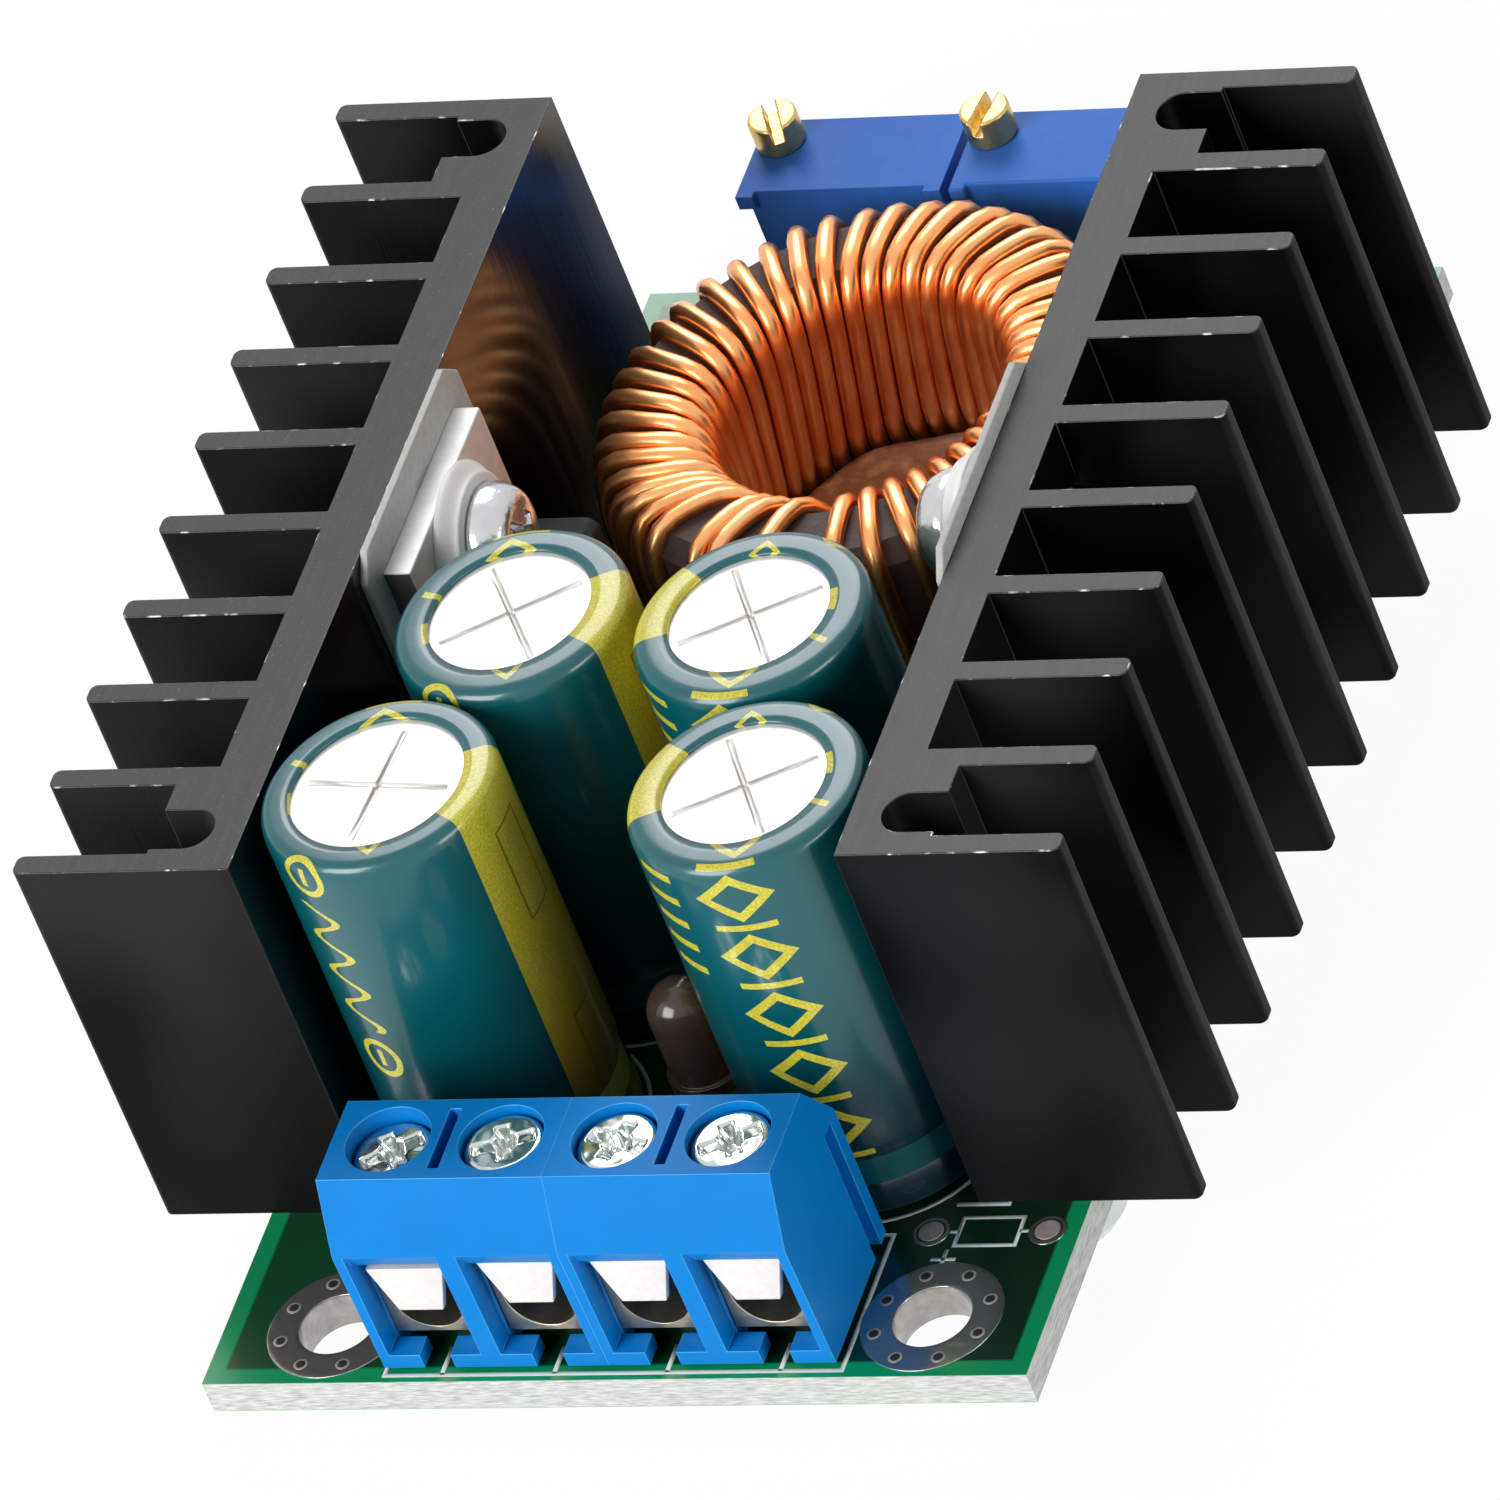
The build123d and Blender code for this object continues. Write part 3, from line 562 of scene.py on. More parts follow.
caps = ["front_left", "front_right", "back_left", "back_right"]
prints = []
for cap in caps:
    x, y, z = middle_of(f"capacitor_{cap}_sleeve")
    prints.append(stroke(circle(x, y, CAP_RING_R), MIDDLING, closed=True))
block_low = np.minimum(limits("terminal_housing_left")[0], limits("terminal_housing_right")[0])
block_high = np.maximum(limits("terminal_housing_left")[1], limits("terminal_housing_right")[1])
left, right = block_low[0] + 0.45, block_high[0] + 0.2
front, back = block_low[1] + 0.1, block_high[1] + 0.1
prints.append(stroke([(left, front), (right, front), (right, back), (left, back)], BOLD, closed=True))
for i in range(1, 5):
    pole = middle_of(f"terminal_cage_{i}")[0]
    prints.append(stroke([(pole, front), (pole, front + 1.6)], BOLD))
resistor = np.array([14.5, -24.62])
box_corners = [(-1.35, -0.8), (1.35, -0.8), (1.35, 0.8), (-1.35, 0.8)]
prints.append(stroke(resistor + box_corners, FINE, closed=True))
for side in (-1, 1):
    prints.append(stroke(resistor + [(side * 1.35, 0), (side * 1.75, 0)], FINE))
plus = np.array([12.9, -26.2])
for arm in ((0.55, 0), (0, 0.55)):
    prints.append(stroke([plus - arm, plus + arm], FINE))
prints.append(stroke([(12.6, -23.05), (14.9, -23.05), (14.9, -22.7)], BOLD))
ink = mottled("board_ink", {}, (0.25,), (tone(214, 222, 218), tone(190, 200, 196)), 0.6)
show(skin("board_print", prints), [ink], "module")
print(len(prints), "printed strokes")

# %% [markdown]
# Eyelets are tinned rings with a plated bore. The corner ones are wide, with a circle of eight
# small plated holes on each, and the resistor's place on the board has two small pads. An eyelet
# is turned from one outline: flange, bore, flange. A small hole is too fine to bore, so it is a
# dark disc of painted shade, standing for the shade inside the hole, a hair above a paler one. The
# pads' dark ring has the same dark finish.

# %% Tinned eyelets
TIN = 0.04
FLANGE_R = 3.1
SMALL_HOLES_R = 2.5
SMALL_HOLES = 8
bottom = board_low[2]


def eyelet(x, y, bore, rim):
    """Closed outline of a plated hole, turned: down the bore, out and back under the board, up
    along the hole's wall, out and back over the board, and down to the start."""
    middle = (bore - TIN, (bottom + top) / 2)
    under = [(bore - TIN, bottom - TIN), (rim, bottom - TIN), (rim, bottom), (bore, bottom)]
    over = [(bore, top), (rim, top), (rim, top + TIN), (bore - TIN, top + TIN)]
    outline = [middle] + under + over + [middle]
    return turned(divided(rounded(outline, 0.03, 3), 0.2), (x, y), 96)


def spot(x, y, radius, height):
    """Low disc on the board's top."""
    outline = [(0, top), (radius, top), (radius, top + height), (0, top + height)]
    return turned(divided(rounded(outline, 0.02, 3), 0.1), (x, y), 24)


corner = record["mounts"][0]["dims"]
half_x, half_y = corner["spacing_x_mm"] / 2, corner["spacing_y_mm"] / 2
corners = [(-half_x, -half_y), (-half_x, half_y), (half_x, -half_y), (half_x, half_y)]
rings, rims, hole_shades_and_pad_rings = [], [], []
for x, y in corners:
    rings.append(eyelet(x, y, corner["hole_r_mm"], FLANGE_R))
    for angle in (np.arange(SMALL_HOLES) + 0.5) * 2 * math.pi / SMALL_HOLES:
        hole = (x + SMALL_HOLES_R * math.cos(angle), y + SMALL_HOLES_R * math.sin(angle))
        rims.append(spot(*hole, 0.32, TIN + 0.01))
        hole_shades_and_pad_rings.append(spot(*hole, 0.22, TIN + 0.015))
for side in (-1, 1):
    x, y = resistor + (side * 2.6, 0)
    rings.append(spot(x, y, 0.82, TIN))
    hole_shades_and_pad_rings.append(spot(x, y, 0.66, TIN + 0.01))
    rims.append(spot(x, y, 0.56, TIN + 0.03))
pad_tones = (tone(196, 193, 189), tone(140, 137, 134))
tinned = mottled("tinned_pad", {"Metallic": 0.9}, (0.5, 4), pad_tones, (0.1, 0.22), 0.02)
rim_tones = (tone(196, 188, 182), tone(138, 128, 122))
bright_tin = mottled("bright_tin", {"Metallic": 0.3}, (0.3,), rim_tones, 0.4)
# Painted shade: the small holes' dark discs stand for the shade inside them. The pads' dark rings use
# the same finish.
hole_shade_and_pad_ring = mottled("painted_hole_shade_and_pad_ring", {}, (0.3,), (tone(18, 20, 18), tone(36, 38, 34)), 0.5)
show(skin("corner_eyelets", rings), [tinned], "module")
show(skin("via_rims", rims), [bright_tin], "module")
show(skin("dark_discs", hole_shades_and_pad_rings), [hole_shade_and_pad_ring], "module")
print(len(rings), "eyelets,", len(rims), "small holes")

# %% [markdown]
# ## Ring coil
# The winding gives this module its look: 45 turns of enamelled wire, close together in the hole
# and spread outside, most of them leaning. The centre line is reckoned whole. One turn follows a
# rounded box round the core, and the angle about the ring slides from the inner place to the
# outer one as the wire crosses the top, and on to the next inner place as it crosses the bottom.
# The inner and outer places of a few turns were measured, and the turns between them are evenly
# spaced. Small seeded errors keep it from looking machine made. A ring of copied turns would be
# shorter to write, but no two turns here lean alike.

# %% Winding
TURNS = 45
WIRE_R = 0.425
SAMPLES = 40
ring = middle_of("coil_core")
RING_R, HALF_R, HALF_Z = 9.1, 2.57, 5.17
INNER = [(0, -75.2), (2, -60.3), (19, 79), (28, 147.5), (35, 209.9), (44, 277.4)]
OUTER = [(0, -78), (2, -60), (19, 70.7), (31, 166.2), (35, 195), (41, 235.2)]
OUTER += [(42, 247.6), (43, 252), (44, 263.5)]
LATE = (37, 41)
WALL_LEAN = 13.0
SETTLED = 0.06
FOOT = 0.17
FIRST, LAST = -0.2, 0.62
UNDER = (0.62, 0.83)


def section_path(count, power=3.8):
    """One turn as (r, z) at equal steps of length: |r/a|^n + |z/b|^n = 1, from the inner middle up,
    over the top, down outside and back under."""
    t = np.linspace(np.pi, -np.pi, 2001)
    r = HALF_R * np.sign(np.cos(t)) * abs(np.cos(t)) ** (2 / power)
    z = HALF_Z * np.sign(np.sin(t)) * abs(np.sin(t)) ** (2 / power)
    length = np.concatenate([[0], np.cumsum(np.hypot(np.diff(r), np.diff(z)))])
    even = np.linspace(0, length[-1], count)
    return np.interp(even, length, r), np.interp(even, length, z)


def glide(s, start, end):
    """0 before start, 1 after end, 3t^2 - 2t^3 between."""
    t = np.clip((s - start) / (end - start), 0, 1)
    return t * t * (3 - 2 * t)


def winding_line():
    """Centre line. Each sample has a turn k and a share s of it, which is 0 at the middle of the
    hole's wall and starts a foot below that. Going up the wall the angle falls by the wall's lean to
    inner_k. Over the top it goes to outer_k, and under the bottom to the foot of the next turn. Late
    turns hug the hole's rim, so theirs changes sooner. A turn's height and its reach outside differ
    a little from the next one's. Both ends go straight down into the board."""
    number = np.arange(TURNS + 1)
    inner = np.interp(number, *np.array(INNER).T) + rng.normal(0, 0.06, TURNS + 1)
    outer = np.interp(number, *np.array(OUTER).T) + rng.normal(0, 0.5, TURNS + 1)
    tall, wide = rng.normal(0, 0.05, (2, TURNS + 1))
    share = np.linspace(FIRST, TURNS - 1 + LAST, TURNS * SAMPLES)
    k = np.maximum(np.floor(share + FOOT).astype(int), 0)
    s = share - k
    late = np.interp(k, LATE, (0, 1))
    following = np.where(k < TURNS - 1, inner[k + 1] + WALL_LEAN, outer[k])
    angle = inner[k] + WALL_LEAN * (1 - np.clip((s + FOOT) / 0.32, 0, 1))
    angle += (outer[k] - inner[k]) * glide(s, 0.13 - 0.06 * late, 0.36 - 0.12 * late)
    angle += (following - outer[k]) * glide(s, *UNDER)
    angle[share < -FOOT] = inner[0] + WALL_LEAN
    angle = np.radians(np.convolve(np.pad(angle, 3, "edge"), np.ones(7) / 7, "valid"))
    r_table, z_table = section_path(400)
    r = RING_R + np.interp(s % 1, np.linspace(0, 1, 400), r_table)
    z = ring[2] + np.interp(s % 1, np.linspace(0, 1, 400), z_table)
    r += (wide[k] - SETTLED) * glide(s, 0.3, 0.4) * (1 - glide(s, 0.6, 0.7))
    z += (tall[k] - SETTLED) * glide(s, 0.12, 0.2) * (1 - glide(s, 0.3, 0.4))
    line = np.stack([ring[0] + r * np.cos(angle), ring[1] + r * np.sin(angle), z], axis=1)
    lead_in = np.linspace([*line[0, :2], bottom], line[0], 12)[:-1]
    lead_out = np.linspace(line[-1], [*line[-1, :2], bottom], 12)[1:]
    return np.concatenate([lead_in, line, lead_out])


def wire(line, radius, centre, ring_r, sides=14):
    """Tube p[i, j] = c_i + R (cos a_j n_i + sin a_j b_i): t_i is the line's direction, n_i points
    from the middle of the ring's section and is square to t_i, and b = t x n."""
    t = np.gradient(line, axis=0)
    t /= np.linalg.norm(t, axis=1)[:, None]
    flat = line - centre
    flat[:, 2] = 0
    core = centre + flat / np.linalg.norm(flat, axis=1)[:, None] * ring_r
    out = line - core
    n = out - (out * t).sum(1)[:, None] * t
    n /= np.linalg.norm(n, axis=1)[:, None]
    b = np.cross(t, n)
    a = np.linspace(0, 2 * np.pi, sides, endpoint=False)
    around = np.cos(a)[None, :, None] * n[:, None] + np.sin(a)[None, :, None] * b[:, None]
    tube = line[:, None] + radius * around
    ends = [np.repeat(line[i][None, None], sides, axis=1) for i in (0, -1)]
    return np.concatenate([ends[0], tube, ends[1]])


line = winding_line()
winding = skin("coil_wire", [wire(line, WIRE_R, ring, RING_R)])
wire_length = np.linalg.norm(np.diff(line, axis=0), axis=1).sum()
print("wire", round(float(wire_length)), "mm long,", TURNS, "turns")

# %% [markdown]
# Enamelled copper is a metal under a clear amber varnish: the metal gives the strong colour, a
# coat gives the sharp white glint, and slow changes along the wire stop it from looking plated.
# The core under it has a rough dark coating. The glue in the hole was poured soft and creeps up
# the wires, so it is a shallow pool whose surface rises at the rim and waves a little.

# %% Copper, core and glue
copper = Finish("enamelled_copper", {"Metallic": 1.0, "Coat Weight": 0.4, "Coat Roughness": 0.15})
blush = copper.noise(1.6, 3)
copper.set(
    Base_Color=copper.mix(copper.ramp(blush, 0.3, 0.7), tone(243, 158, 94), tone(252, 186, 122)),
    Roughness=0.26 + blush * 0.12,
    Normal=copper.bump(copper.noise(0.35, 3), 0.006),
)
show_for(winding, [copper], "coil_winding")

core_finish = Finish("core_coating", {"Roughness": 0.7})
core_finish.set(
    Base_Color=core_finish.mix(core_finish.noise(0.8), tone(96, 78, 76), tone(58, 46, 46)),
    Normal=core_finish.bump(core_finish.noise(0.3), 0.05),
)

glue_finish = Finish("silicone_glue", {"Roughness": 0.28, "Coat Weight": 0.3})
wisps = glue_finish.noise(1.3, 6)
milkiness = glue_finish.ramp(wisps, 0.5, 0.75)
glue_finish.set(
    Base_Color=glue_finish.mix(milkiness, tone(158, 146, 144), tone(240, 238, 236)),
    Normal=glue_finish.bump(wisps, 0.3),
)


def glue_pool(centre, radius, low, high):
    """Pool that creeps up the wires: height = low + (high - low)(0.8 + 0.1 q^4 + 0.1 w), q the share
    of the radius and w the mean of three slow waves."""
    outline = np.array([(0, low), (radius, low), (radius, low + 0.3), (0, high)])
    grid = turned(divided(outline, 0.3), centre, 72)
    x, y = grid[..., 0] - centre[0], grid[..., 1] - centre[1]
    q = np.hypot(x, y) / radius
    waves = (np.sin(1.3 * x + 0.4) + np.sin(1.1 * y - 1.0) + np.sin(0.9 * (x + y))) / 3
    rise = (high - low) * (0.8 + 0.1 * q ** 4 + 0.1 * waves)
    upper = grid[..., 2] > low + 1e-6
    grid[..., 2] = np.where(upper, low + rise, grid[..., 2])
    return grid


GLUE_CREEP = 0.25
glue_low, glue_high = limits("coil_glue")
pool_r = (glue_high[0] - glue_low[0]) / 2 + GLUE_CREEP
pool = glue_pool(middle_of("coil_glue"), pool_r, glue_low[2], glue_high[2])
show_for(skin("glue_pool", [pool]), [glue_finish], "coil_glue")
print("glue", round(float(pool_r * 2), 1), "mm across")

# %% [markdown]
# ## Capacitors
# A can with a vent scored across its top, in a shrink sleeve that folds in over the rim. The
# sleeve's print follows it round, so the sleeve gets its own UV map: one value is the share of a
# turn counted from the gold stripe, and the other is the length along the outline. Print is
# worked out from these two as sums of simple shapes, which stays sharp at any distance where a
# picture would not. It is plain ornament in the gold of the stripe: a column of lozenges and bars,
# a short ladder, a wavy line between two rings and a few marks on the fold.

# %% Sleeve finish
film = {"Coat Weight": 0.5, "Coat Roughness": 0.12, "Specular IOR Level": 0.35}
sleeve = Finish("capacitor_sleeve", film)
SLEEVE_R = 5.14
SLEEVE_LENGTH = 30.0
wrap = sleeve.node("UVMap", {"uv_map": "wrap"}, {})
turn, climb, _ = sleeve.axes(wrap)
climb = climb * SLEEVE_LENGTH


def across(angle):
    """Distance round the sleeve from an angle, counted from the stripe, in millimetres."""
    share = turn.maths("WRAP", turn - angle / 360, 0.5, -0.5)
    return share * (2 * math.pi * SLEEVE_R)


def repeat(middle, period):
    """Height within a repeating pattern, 0 at its middle."""
    return climb.maths("WRAP", climb - middle, period / 2, -period / 2)


def oval(a, b, wide, tall, line_width):
    """Outline of an oval: 1 where sqrt((a/wide)^2 + (b/tall)^2) is near 1."""
    square = (a / wide) * (a / wide) + (b / tall) * (b / tall)
    return abs(square.maths("SQRT", square) - 1) < line_width


def lozenge(a, b, wide, tall, line_width):
    """Outline of a lozenge: 1 where |a|/wide + |b|/tall is near 1."""
    return abs(abs(a) / wide + abs(b) / tall - 1) < line_width


def block(a, b, wide, tall):
    """Filled rectangle."""
    return (abs(a) < wide) & (abs(b) < tall)


PRINT_LOW, PRINT_HIGH, FOLD = 3.0, 20.4, 21.2
within = (climb > PRINT_LOW) & (climb < PRINT_HIGH)
stripe_a = across(0)
stripe = abs(stripe_a) < 2.5
stripe_b = repeat(15.5, 10.5)
boxes = block(stripe_a, stripe_b, 0.95, 2.5) & (1 - block(stripe_a, stripe_b, 0.82, 2.37)) & within
main_a, main_b = across(100), repeat(18.4, 3.3)
figures = lozenge(main_a, main_b, 1.4, 1.05, 0.24) | block(main_a, abs(main_b) - 1.65, 1.35, 0.16)
ladder = block(across(57), repeat(16.5, 1.3), 1.0, 0.2)
figures = figures | (ladder & (abs(climb - 16.5) < 3.3))
wave_a = across(-112)
wave = wave_a - (climb * 3.1).maths("SINE", climb * 3.1) * 0.75
figures = figures | ((abs(wave) < 0.22) & (abs(climb - 14.0) < 3.6))
for end in (19.2, 8.8):
    figures = figures | oval(wave_a, climb - end, 0.9, 0.9, 0.17)
    figures = figures | block(wave_a, climb - end, 0.14, 0.45)
figures = figures & within
on_fold = climb - FOLD
rim_marks = lozenge(across(105), on_fold - 0.1, 1.3, 0.7, 0.28) | block(across(165), on_fold, 0.2, 0.7)
rim_marks = rim_marks | block(across(-160), on_fold, 0.9, 0.16)
rim_marks = rim_marks | lozenge(across(-75), on_fold - 0.1, 0.8, 0.6, 0.28)
grain = sleeve.noise(0.1, 2)
# Painted shade: the teal is painted darker towards the sleeve's foot.
teal_with_painted_shade = sleeve.mix(sleeve.ramp(climb, 2.0, 14.0), tone(0, 40, 54), tone(0, 84, 90))
gold = sleeve.mix(sleeve.ramp(grain, 0.3, 0.7), tone(172, 164, 34), tone(216, 206, 74))
painted = sleeve.mix(figures | rim_marks, teal_with_painted_shade, gold)
# Painted shade: the stripe's gold is painted browner towards the foot.
gold_with_painted_shade = sleeve.mix(sleeve.ramp(climb, 4.0, 18.0), tone(122, 100, 26), gold)
painted = sleeve.mix(stripe, painted, gold_with_painted_shade)
painted = sleeve.mix(boxes * 0.8, painted, tone(96, 90, 24))
sleeve.set(Base_Color=painted, Roughness=0.32, Normal=sleeve.bump(sleeve.noise(1.2, 2), 0.02))
print("sleeve finish has", len(sleeve.tree.nodes), "nodes")

# %% [markdown]
# The sleeve's wall follows the can in at the crimp and out again, turns over the rim in a round
# roll and ends in a thin lip round the vent. Each capacitor is turned its own way, as they were
# put in by hand. The turning begins at the stripe, so the seam of the UV map lies inside it.

# %% Sleeves
STRIPE_AT = {"front_left": -2.0, "back_left": 1.0, "back_right": 171.0, "front_right": 177.0}
VENT_AT = {"front_left": -4.0, "back_left": 33.0, "back_right": 30.0, "front_right": 30.0}
OPENING = {"front_left": 3.78, "back_left": 3.55, "back_right": 3.5, "front_right": 3.55}
CRIMP_HEIGHT, CRIMP_DEPTH = 2.2, 0.45
CAN_R = 5.0


def sleeve_outline(foot, high, opening):
    """Outside of the wall up from the foot, in over the fold to the opening, and down the inside."""
    wall = SLEEVE_R - CAN_R
    crimp = foot + CRIMP_HEIGHT
    bore = CAN_R + 0.02
    below = [(bore, foot), (SLEEVE_R, foot), (SLEEVE_R, crimp - 0.9)]
    above = [(SLEEVE_R - CRIMP_DEPTH, crimp), (SLEEVE_R, crimp + 0.9), (SLEEVE_R, high - 0.02)]
    outer = rounded(below + above + [(opening, high)], 0.75, 9)
    inner = [(opening, high - wall), (CAN_R - 0.4, high - wall), (bore, high - wall - 0.4)]
    return np.concatenate([outer, inner, [(bore, foot)]])


for cap in caps:
    low, high = limits(f"capacitor_{cap}_sleeve")
    centre = (low + high) / 2
    outline = divided(sleeve_outline(low[2], high[2], OPENING[cap]), 0.5)
    grid = turned(outline, centre, 120, math.radians(STRIPE_AT[cap]))
    length = np.concatenate([[0], np.cumsum(np.hypot(*np.diff(outline, axis=0).T))])
    piece = skin(f"sleeve_{cap}", [grid], uv=(np.linspace(0, 1, 121), length / SLEEVE_LENGTH))
    show_for(piece, [sleeve], f"capacitor_{cap}_sleeve")
print("sleeve", SLEEVE_R * 2, "mm across")

# %% [markdown]
# The can's top is bare aluminium with two scored lines that cross. The press throws up a faint
# ridge beside each line, so the relief is a narrow groove between two low banks. The groove's
# flanks are painted grey as painted shade, and they show as a thin double line. How grey each
# point is was kept in the mesh as an attribute, which the finish reads.

# %% Cans
VENT_R, SCORE_REACH = 3.4, 3.2
can_finish = Finish("can_aluminium", {"Metallic": 0.25})
brushed = can_finish.noise(0.4, 4)
bare = can_finish.mix(brushed, tone(252, 251, 248), tone(238, 237, 233))
# Painted shade in the scored grooves: the flanks are mixed towards grey by the attribute the mesh
# carries.
groove_shade_of_can = can_finish.node("Attribute", {"attribute_name": "groove_shade"}, {}, "Fac")
can_finish.set(
    Base_Color=can_finish.mix(groove_shade_of_can, bare, tone(120, 112, 106)),
    Roughness=0.34 + brushed * 0.16,
    Normal=can_finish.bump(brushed, 0.015),
)


def hump(distance, middle, width):
    """exp(-((|d| - m)/w)^2): 1 at the middle, and nearly 0 two widths from it."""
    return np.exp(-(((abs(distance) - middle) / width) ** 2))


def scored(distance, depth=0.13, width=0.085, bank=0.03):
    """A groove a depth deep, between two banks 2.2 widths from its middle."""
    return bank * hump(distance, 2.2 * width, width) - depth * hump(distance, 0, width)


for cap in caps:
    low, high = limits(f"capacitor_{cap}_can")
    centre = (low + high) / 2
    crimp = low[2] + CRIMP_HEIGHT
    lid = high[2] - 0.06
    waist = [(CAN_R, crimp - CRIMP_DEPTH), (CAN_R - CRIMP_DEPTH, crimp), (CAN_R, crimp + CRIMP_DEPTH)]
    shoulder = [(CAN_R, high[2] - 0.35), (CAN_R - 0.35, lid), (0, lid)]
    outline = [(0, low[2]), (CAN_R, low[2])] + waist + shoulder
    grid = turned(divided(np.array(outline), 0.075), centre, 160)
    x, y = grid[..., 0] - centre[0], grid[..., 1] - centre[1]
    a, b = swung(x, y, math.radians(VENT_AT[cap]))
    vent = (np.hypot(x, y) < VENT_R) & (grid[..., 2] > high[2] - 0.1)
    along_a, along_b = abs(a) < SCORE_REACH, abs(b) < SCORE_REACH
    relief = scored(a) * along_b + scored(b) * along_a
    grid[..., 2] += np.where(vent, np.clip(relief, -0.16, 0.05), 0)
    # The grooves' flanks get painted shade, kept with the mesh as a number for each point.
    flank = np.maximum(hump(a, 0.1, 0.05) * along_b, hump(b, 0.1, 0.05) * along_a)
    grey = np.where(vent, 0.8 * flank, 0)
    show_for(skin(f"can_{cap}", [grid], groove_shade=grey), [can_finish], f"capacitor_{cap}_can")
print("cans made")

# %% [markdown]
# ## Screw terminal
# Two blue mouldings, smooth and slightly translucent, with rounded edges whose paler line of light
# is a painted highlight on the rounding. In each pole sit a bent cage, a pale leaf that presses the
# wire and a zinc-plated screw with a cross recess and a driver slot. The leaves and the screws move,
# so each rides on its own body. The mouldings, cages and leaves have flat faces, so softened copies
# of the CAD are enough.

# %% Terminal mouldings, cages and leaves
translucent = {"Subsurface Radius": (0.2, 0.5, 1.0), "Subsurface Scale": 0.0006}
terminal_blue = Finish("terminal_moulding", {"Specular IOR Level": 0.15, "Subsurface Weight": 0.08})
terminal_blue.feed(terminal_blue.shader, translucent)
flow = terminal_blue.noise(2.5, 2)
terminal_blue.set(
    Base_Color=terminal_blue.mix(flow, tone(0, 118, 196), tone(0, 126, 206)),
    Roughness=0.36 + flow * 0.1,
    Normal=terminal_blue.bump(terminal_blue.noise(0.15, 2), 0.004),
)
# Painted highlight: the rounding of each moulding's edges is a paler blue.
highlight_tones = (tone(30, 140, 214), tone(78, 166, 226))
terminal_painted_edge_highlight = mottled("terminal_painted_edge_highlight", {"Specular IOR Level": 0.4}, (1.5, 4), highlight_tones, 0.4)
for side in ("left", "right"):
    node = f"terminal_housing_{side}"
    show_for(softened(node, 0.11, edge=1), [terminal_blue, terminal_painted_edge_highlight], node)

cage_tones = (tone(205, 196, 178), tone(150, 138, 118))
rolled = (0.2, 3, (0.2, 1, 1))
cage_finish = mottled("tinned_brass", {"Metallic": 1.0}, rolled, cage_tones, (0.26, 0.2), 0.01)
leaf_tones = (tone(236, 234, 230), tone(220, 217, 212))
leaf_finish = mottled("pale_leaf", {"Metallic": 0.2}, (0.3, 3), leaf_tones, (0.5, 0.1))
for i in range(1, 5):
    show_for(softened(f"terminal_cage_{i}", 0.06), [cage_finish], f"terminal_cage_{i}")
    show_for(softened(f"terminal_leaf_{i}", 0.06), [leaf_finish], f"terminal_leaf_{i}")
print("terminal dressed")

# %% [markdown]
# The clamp screw's head has a driver slot and a shorter bar across it, pressed with a tapered
# punch, so the walls slope and meet in a pit. The plating is bright but lumpy, and the lumps are a
# bump in the finish: they are too low to change the outline. Each screw stopped at its own angle.

# %% Clamp screws
zinc_tones = (tone(226, 230, 226), tone(176, 184, 182))
zinc = mottled("zinc_plate", {"Metallic": 1.0}, (1.3, 1), zinc_tones, (0.08, 0.14), 0.16)
SCREW_TURNS = [35.0, 20.0, -18.0, 28.0]
HEAD_HEIGHT, HEAD_OVERHANG = 1.25, 0.29


def driver_recess(x, y, turn_by, high):
    """Floor of a slot crossed by a shorter bar with a pit where they meet: the head's height less
    the deepest of the three."""
    a, b = swung(x, y, turn_by)
    slot = 0.55 * bar(a, b, 2.75, 0.72, 0.2)
    cross = 0.7 * bar(b, a, 2.1, 0.66, 0.25)
    middle = 0.85 * np.clip((0.66 - np.hypot(a, b)) / 0.36, 0, 1)
    return high - np.maximum(np.maximum(slot, cross), middle)


def clamp_screw(node, turn_by):
    """Turned screw from its CAD box: shank, a flat head and the recess pressed into it."""
    low, high = limits(node)
    centre, head_r = (low + high) / 2, (high[0] - low[0]) / 2
    shank_r, collar = head_r - HEAD_OVERHANG, high[2] - HEAD_HEIGHT
    shank = [(0, low[2]), (shank_r, low[2]), (shank_r, collar), (head_r, collar)]
    outline = shank + [(head_r, high[2] - 0.16), (head_r - 0.2, high[2] - 0.01), (0, high[2])]
    grid = turned(divided(rounded(outline, 0.12), 0.06), centre, 112)
    return pressed(grid, lambda x, y: driver_recess(x - centre[0], y - centre[1], turn_by, high[2]))


for i, angle in enumerate(SCREW_TURNS, start=1):
    node = f"terminal_screw_{i}"
    grid = clamp_screw(node, math.radians(angle))
    show_for(skin(f"clamp_screw_{i}_shown", [grid]), [zinc], node)
print("clamp screws made")

# %% [markdown]
# ## Power devices
# A metal tab and a black moulding held against the sink by a chromed pan-head screw in a white
# bushing, with a silicone sheet behind. The tab's end that faces -Y is coloured darker, so it is
# sorted from the other faces. Screw and bushing lie on their side: each grid is turned upright
# about the origin and then laid by a quarter turn about Y, which keeps its faces pointing outwards.

# %% Power devices
sheet_tones = (tone(204, 204, 200), tone(170, 170, 168))
pad_finish = mottled("silicone_sheet", {}, (0.35, 4), sheet_tones, 0.75, 0.02)
tab_tones = (tone(236, 236, 234), tone(206, 206, 205))
tab_finish = mottled("tinned_tab", {"Metallic": 0.4}, (0.6, 4), tab_tones, (0.42, 0.15), 0.01)
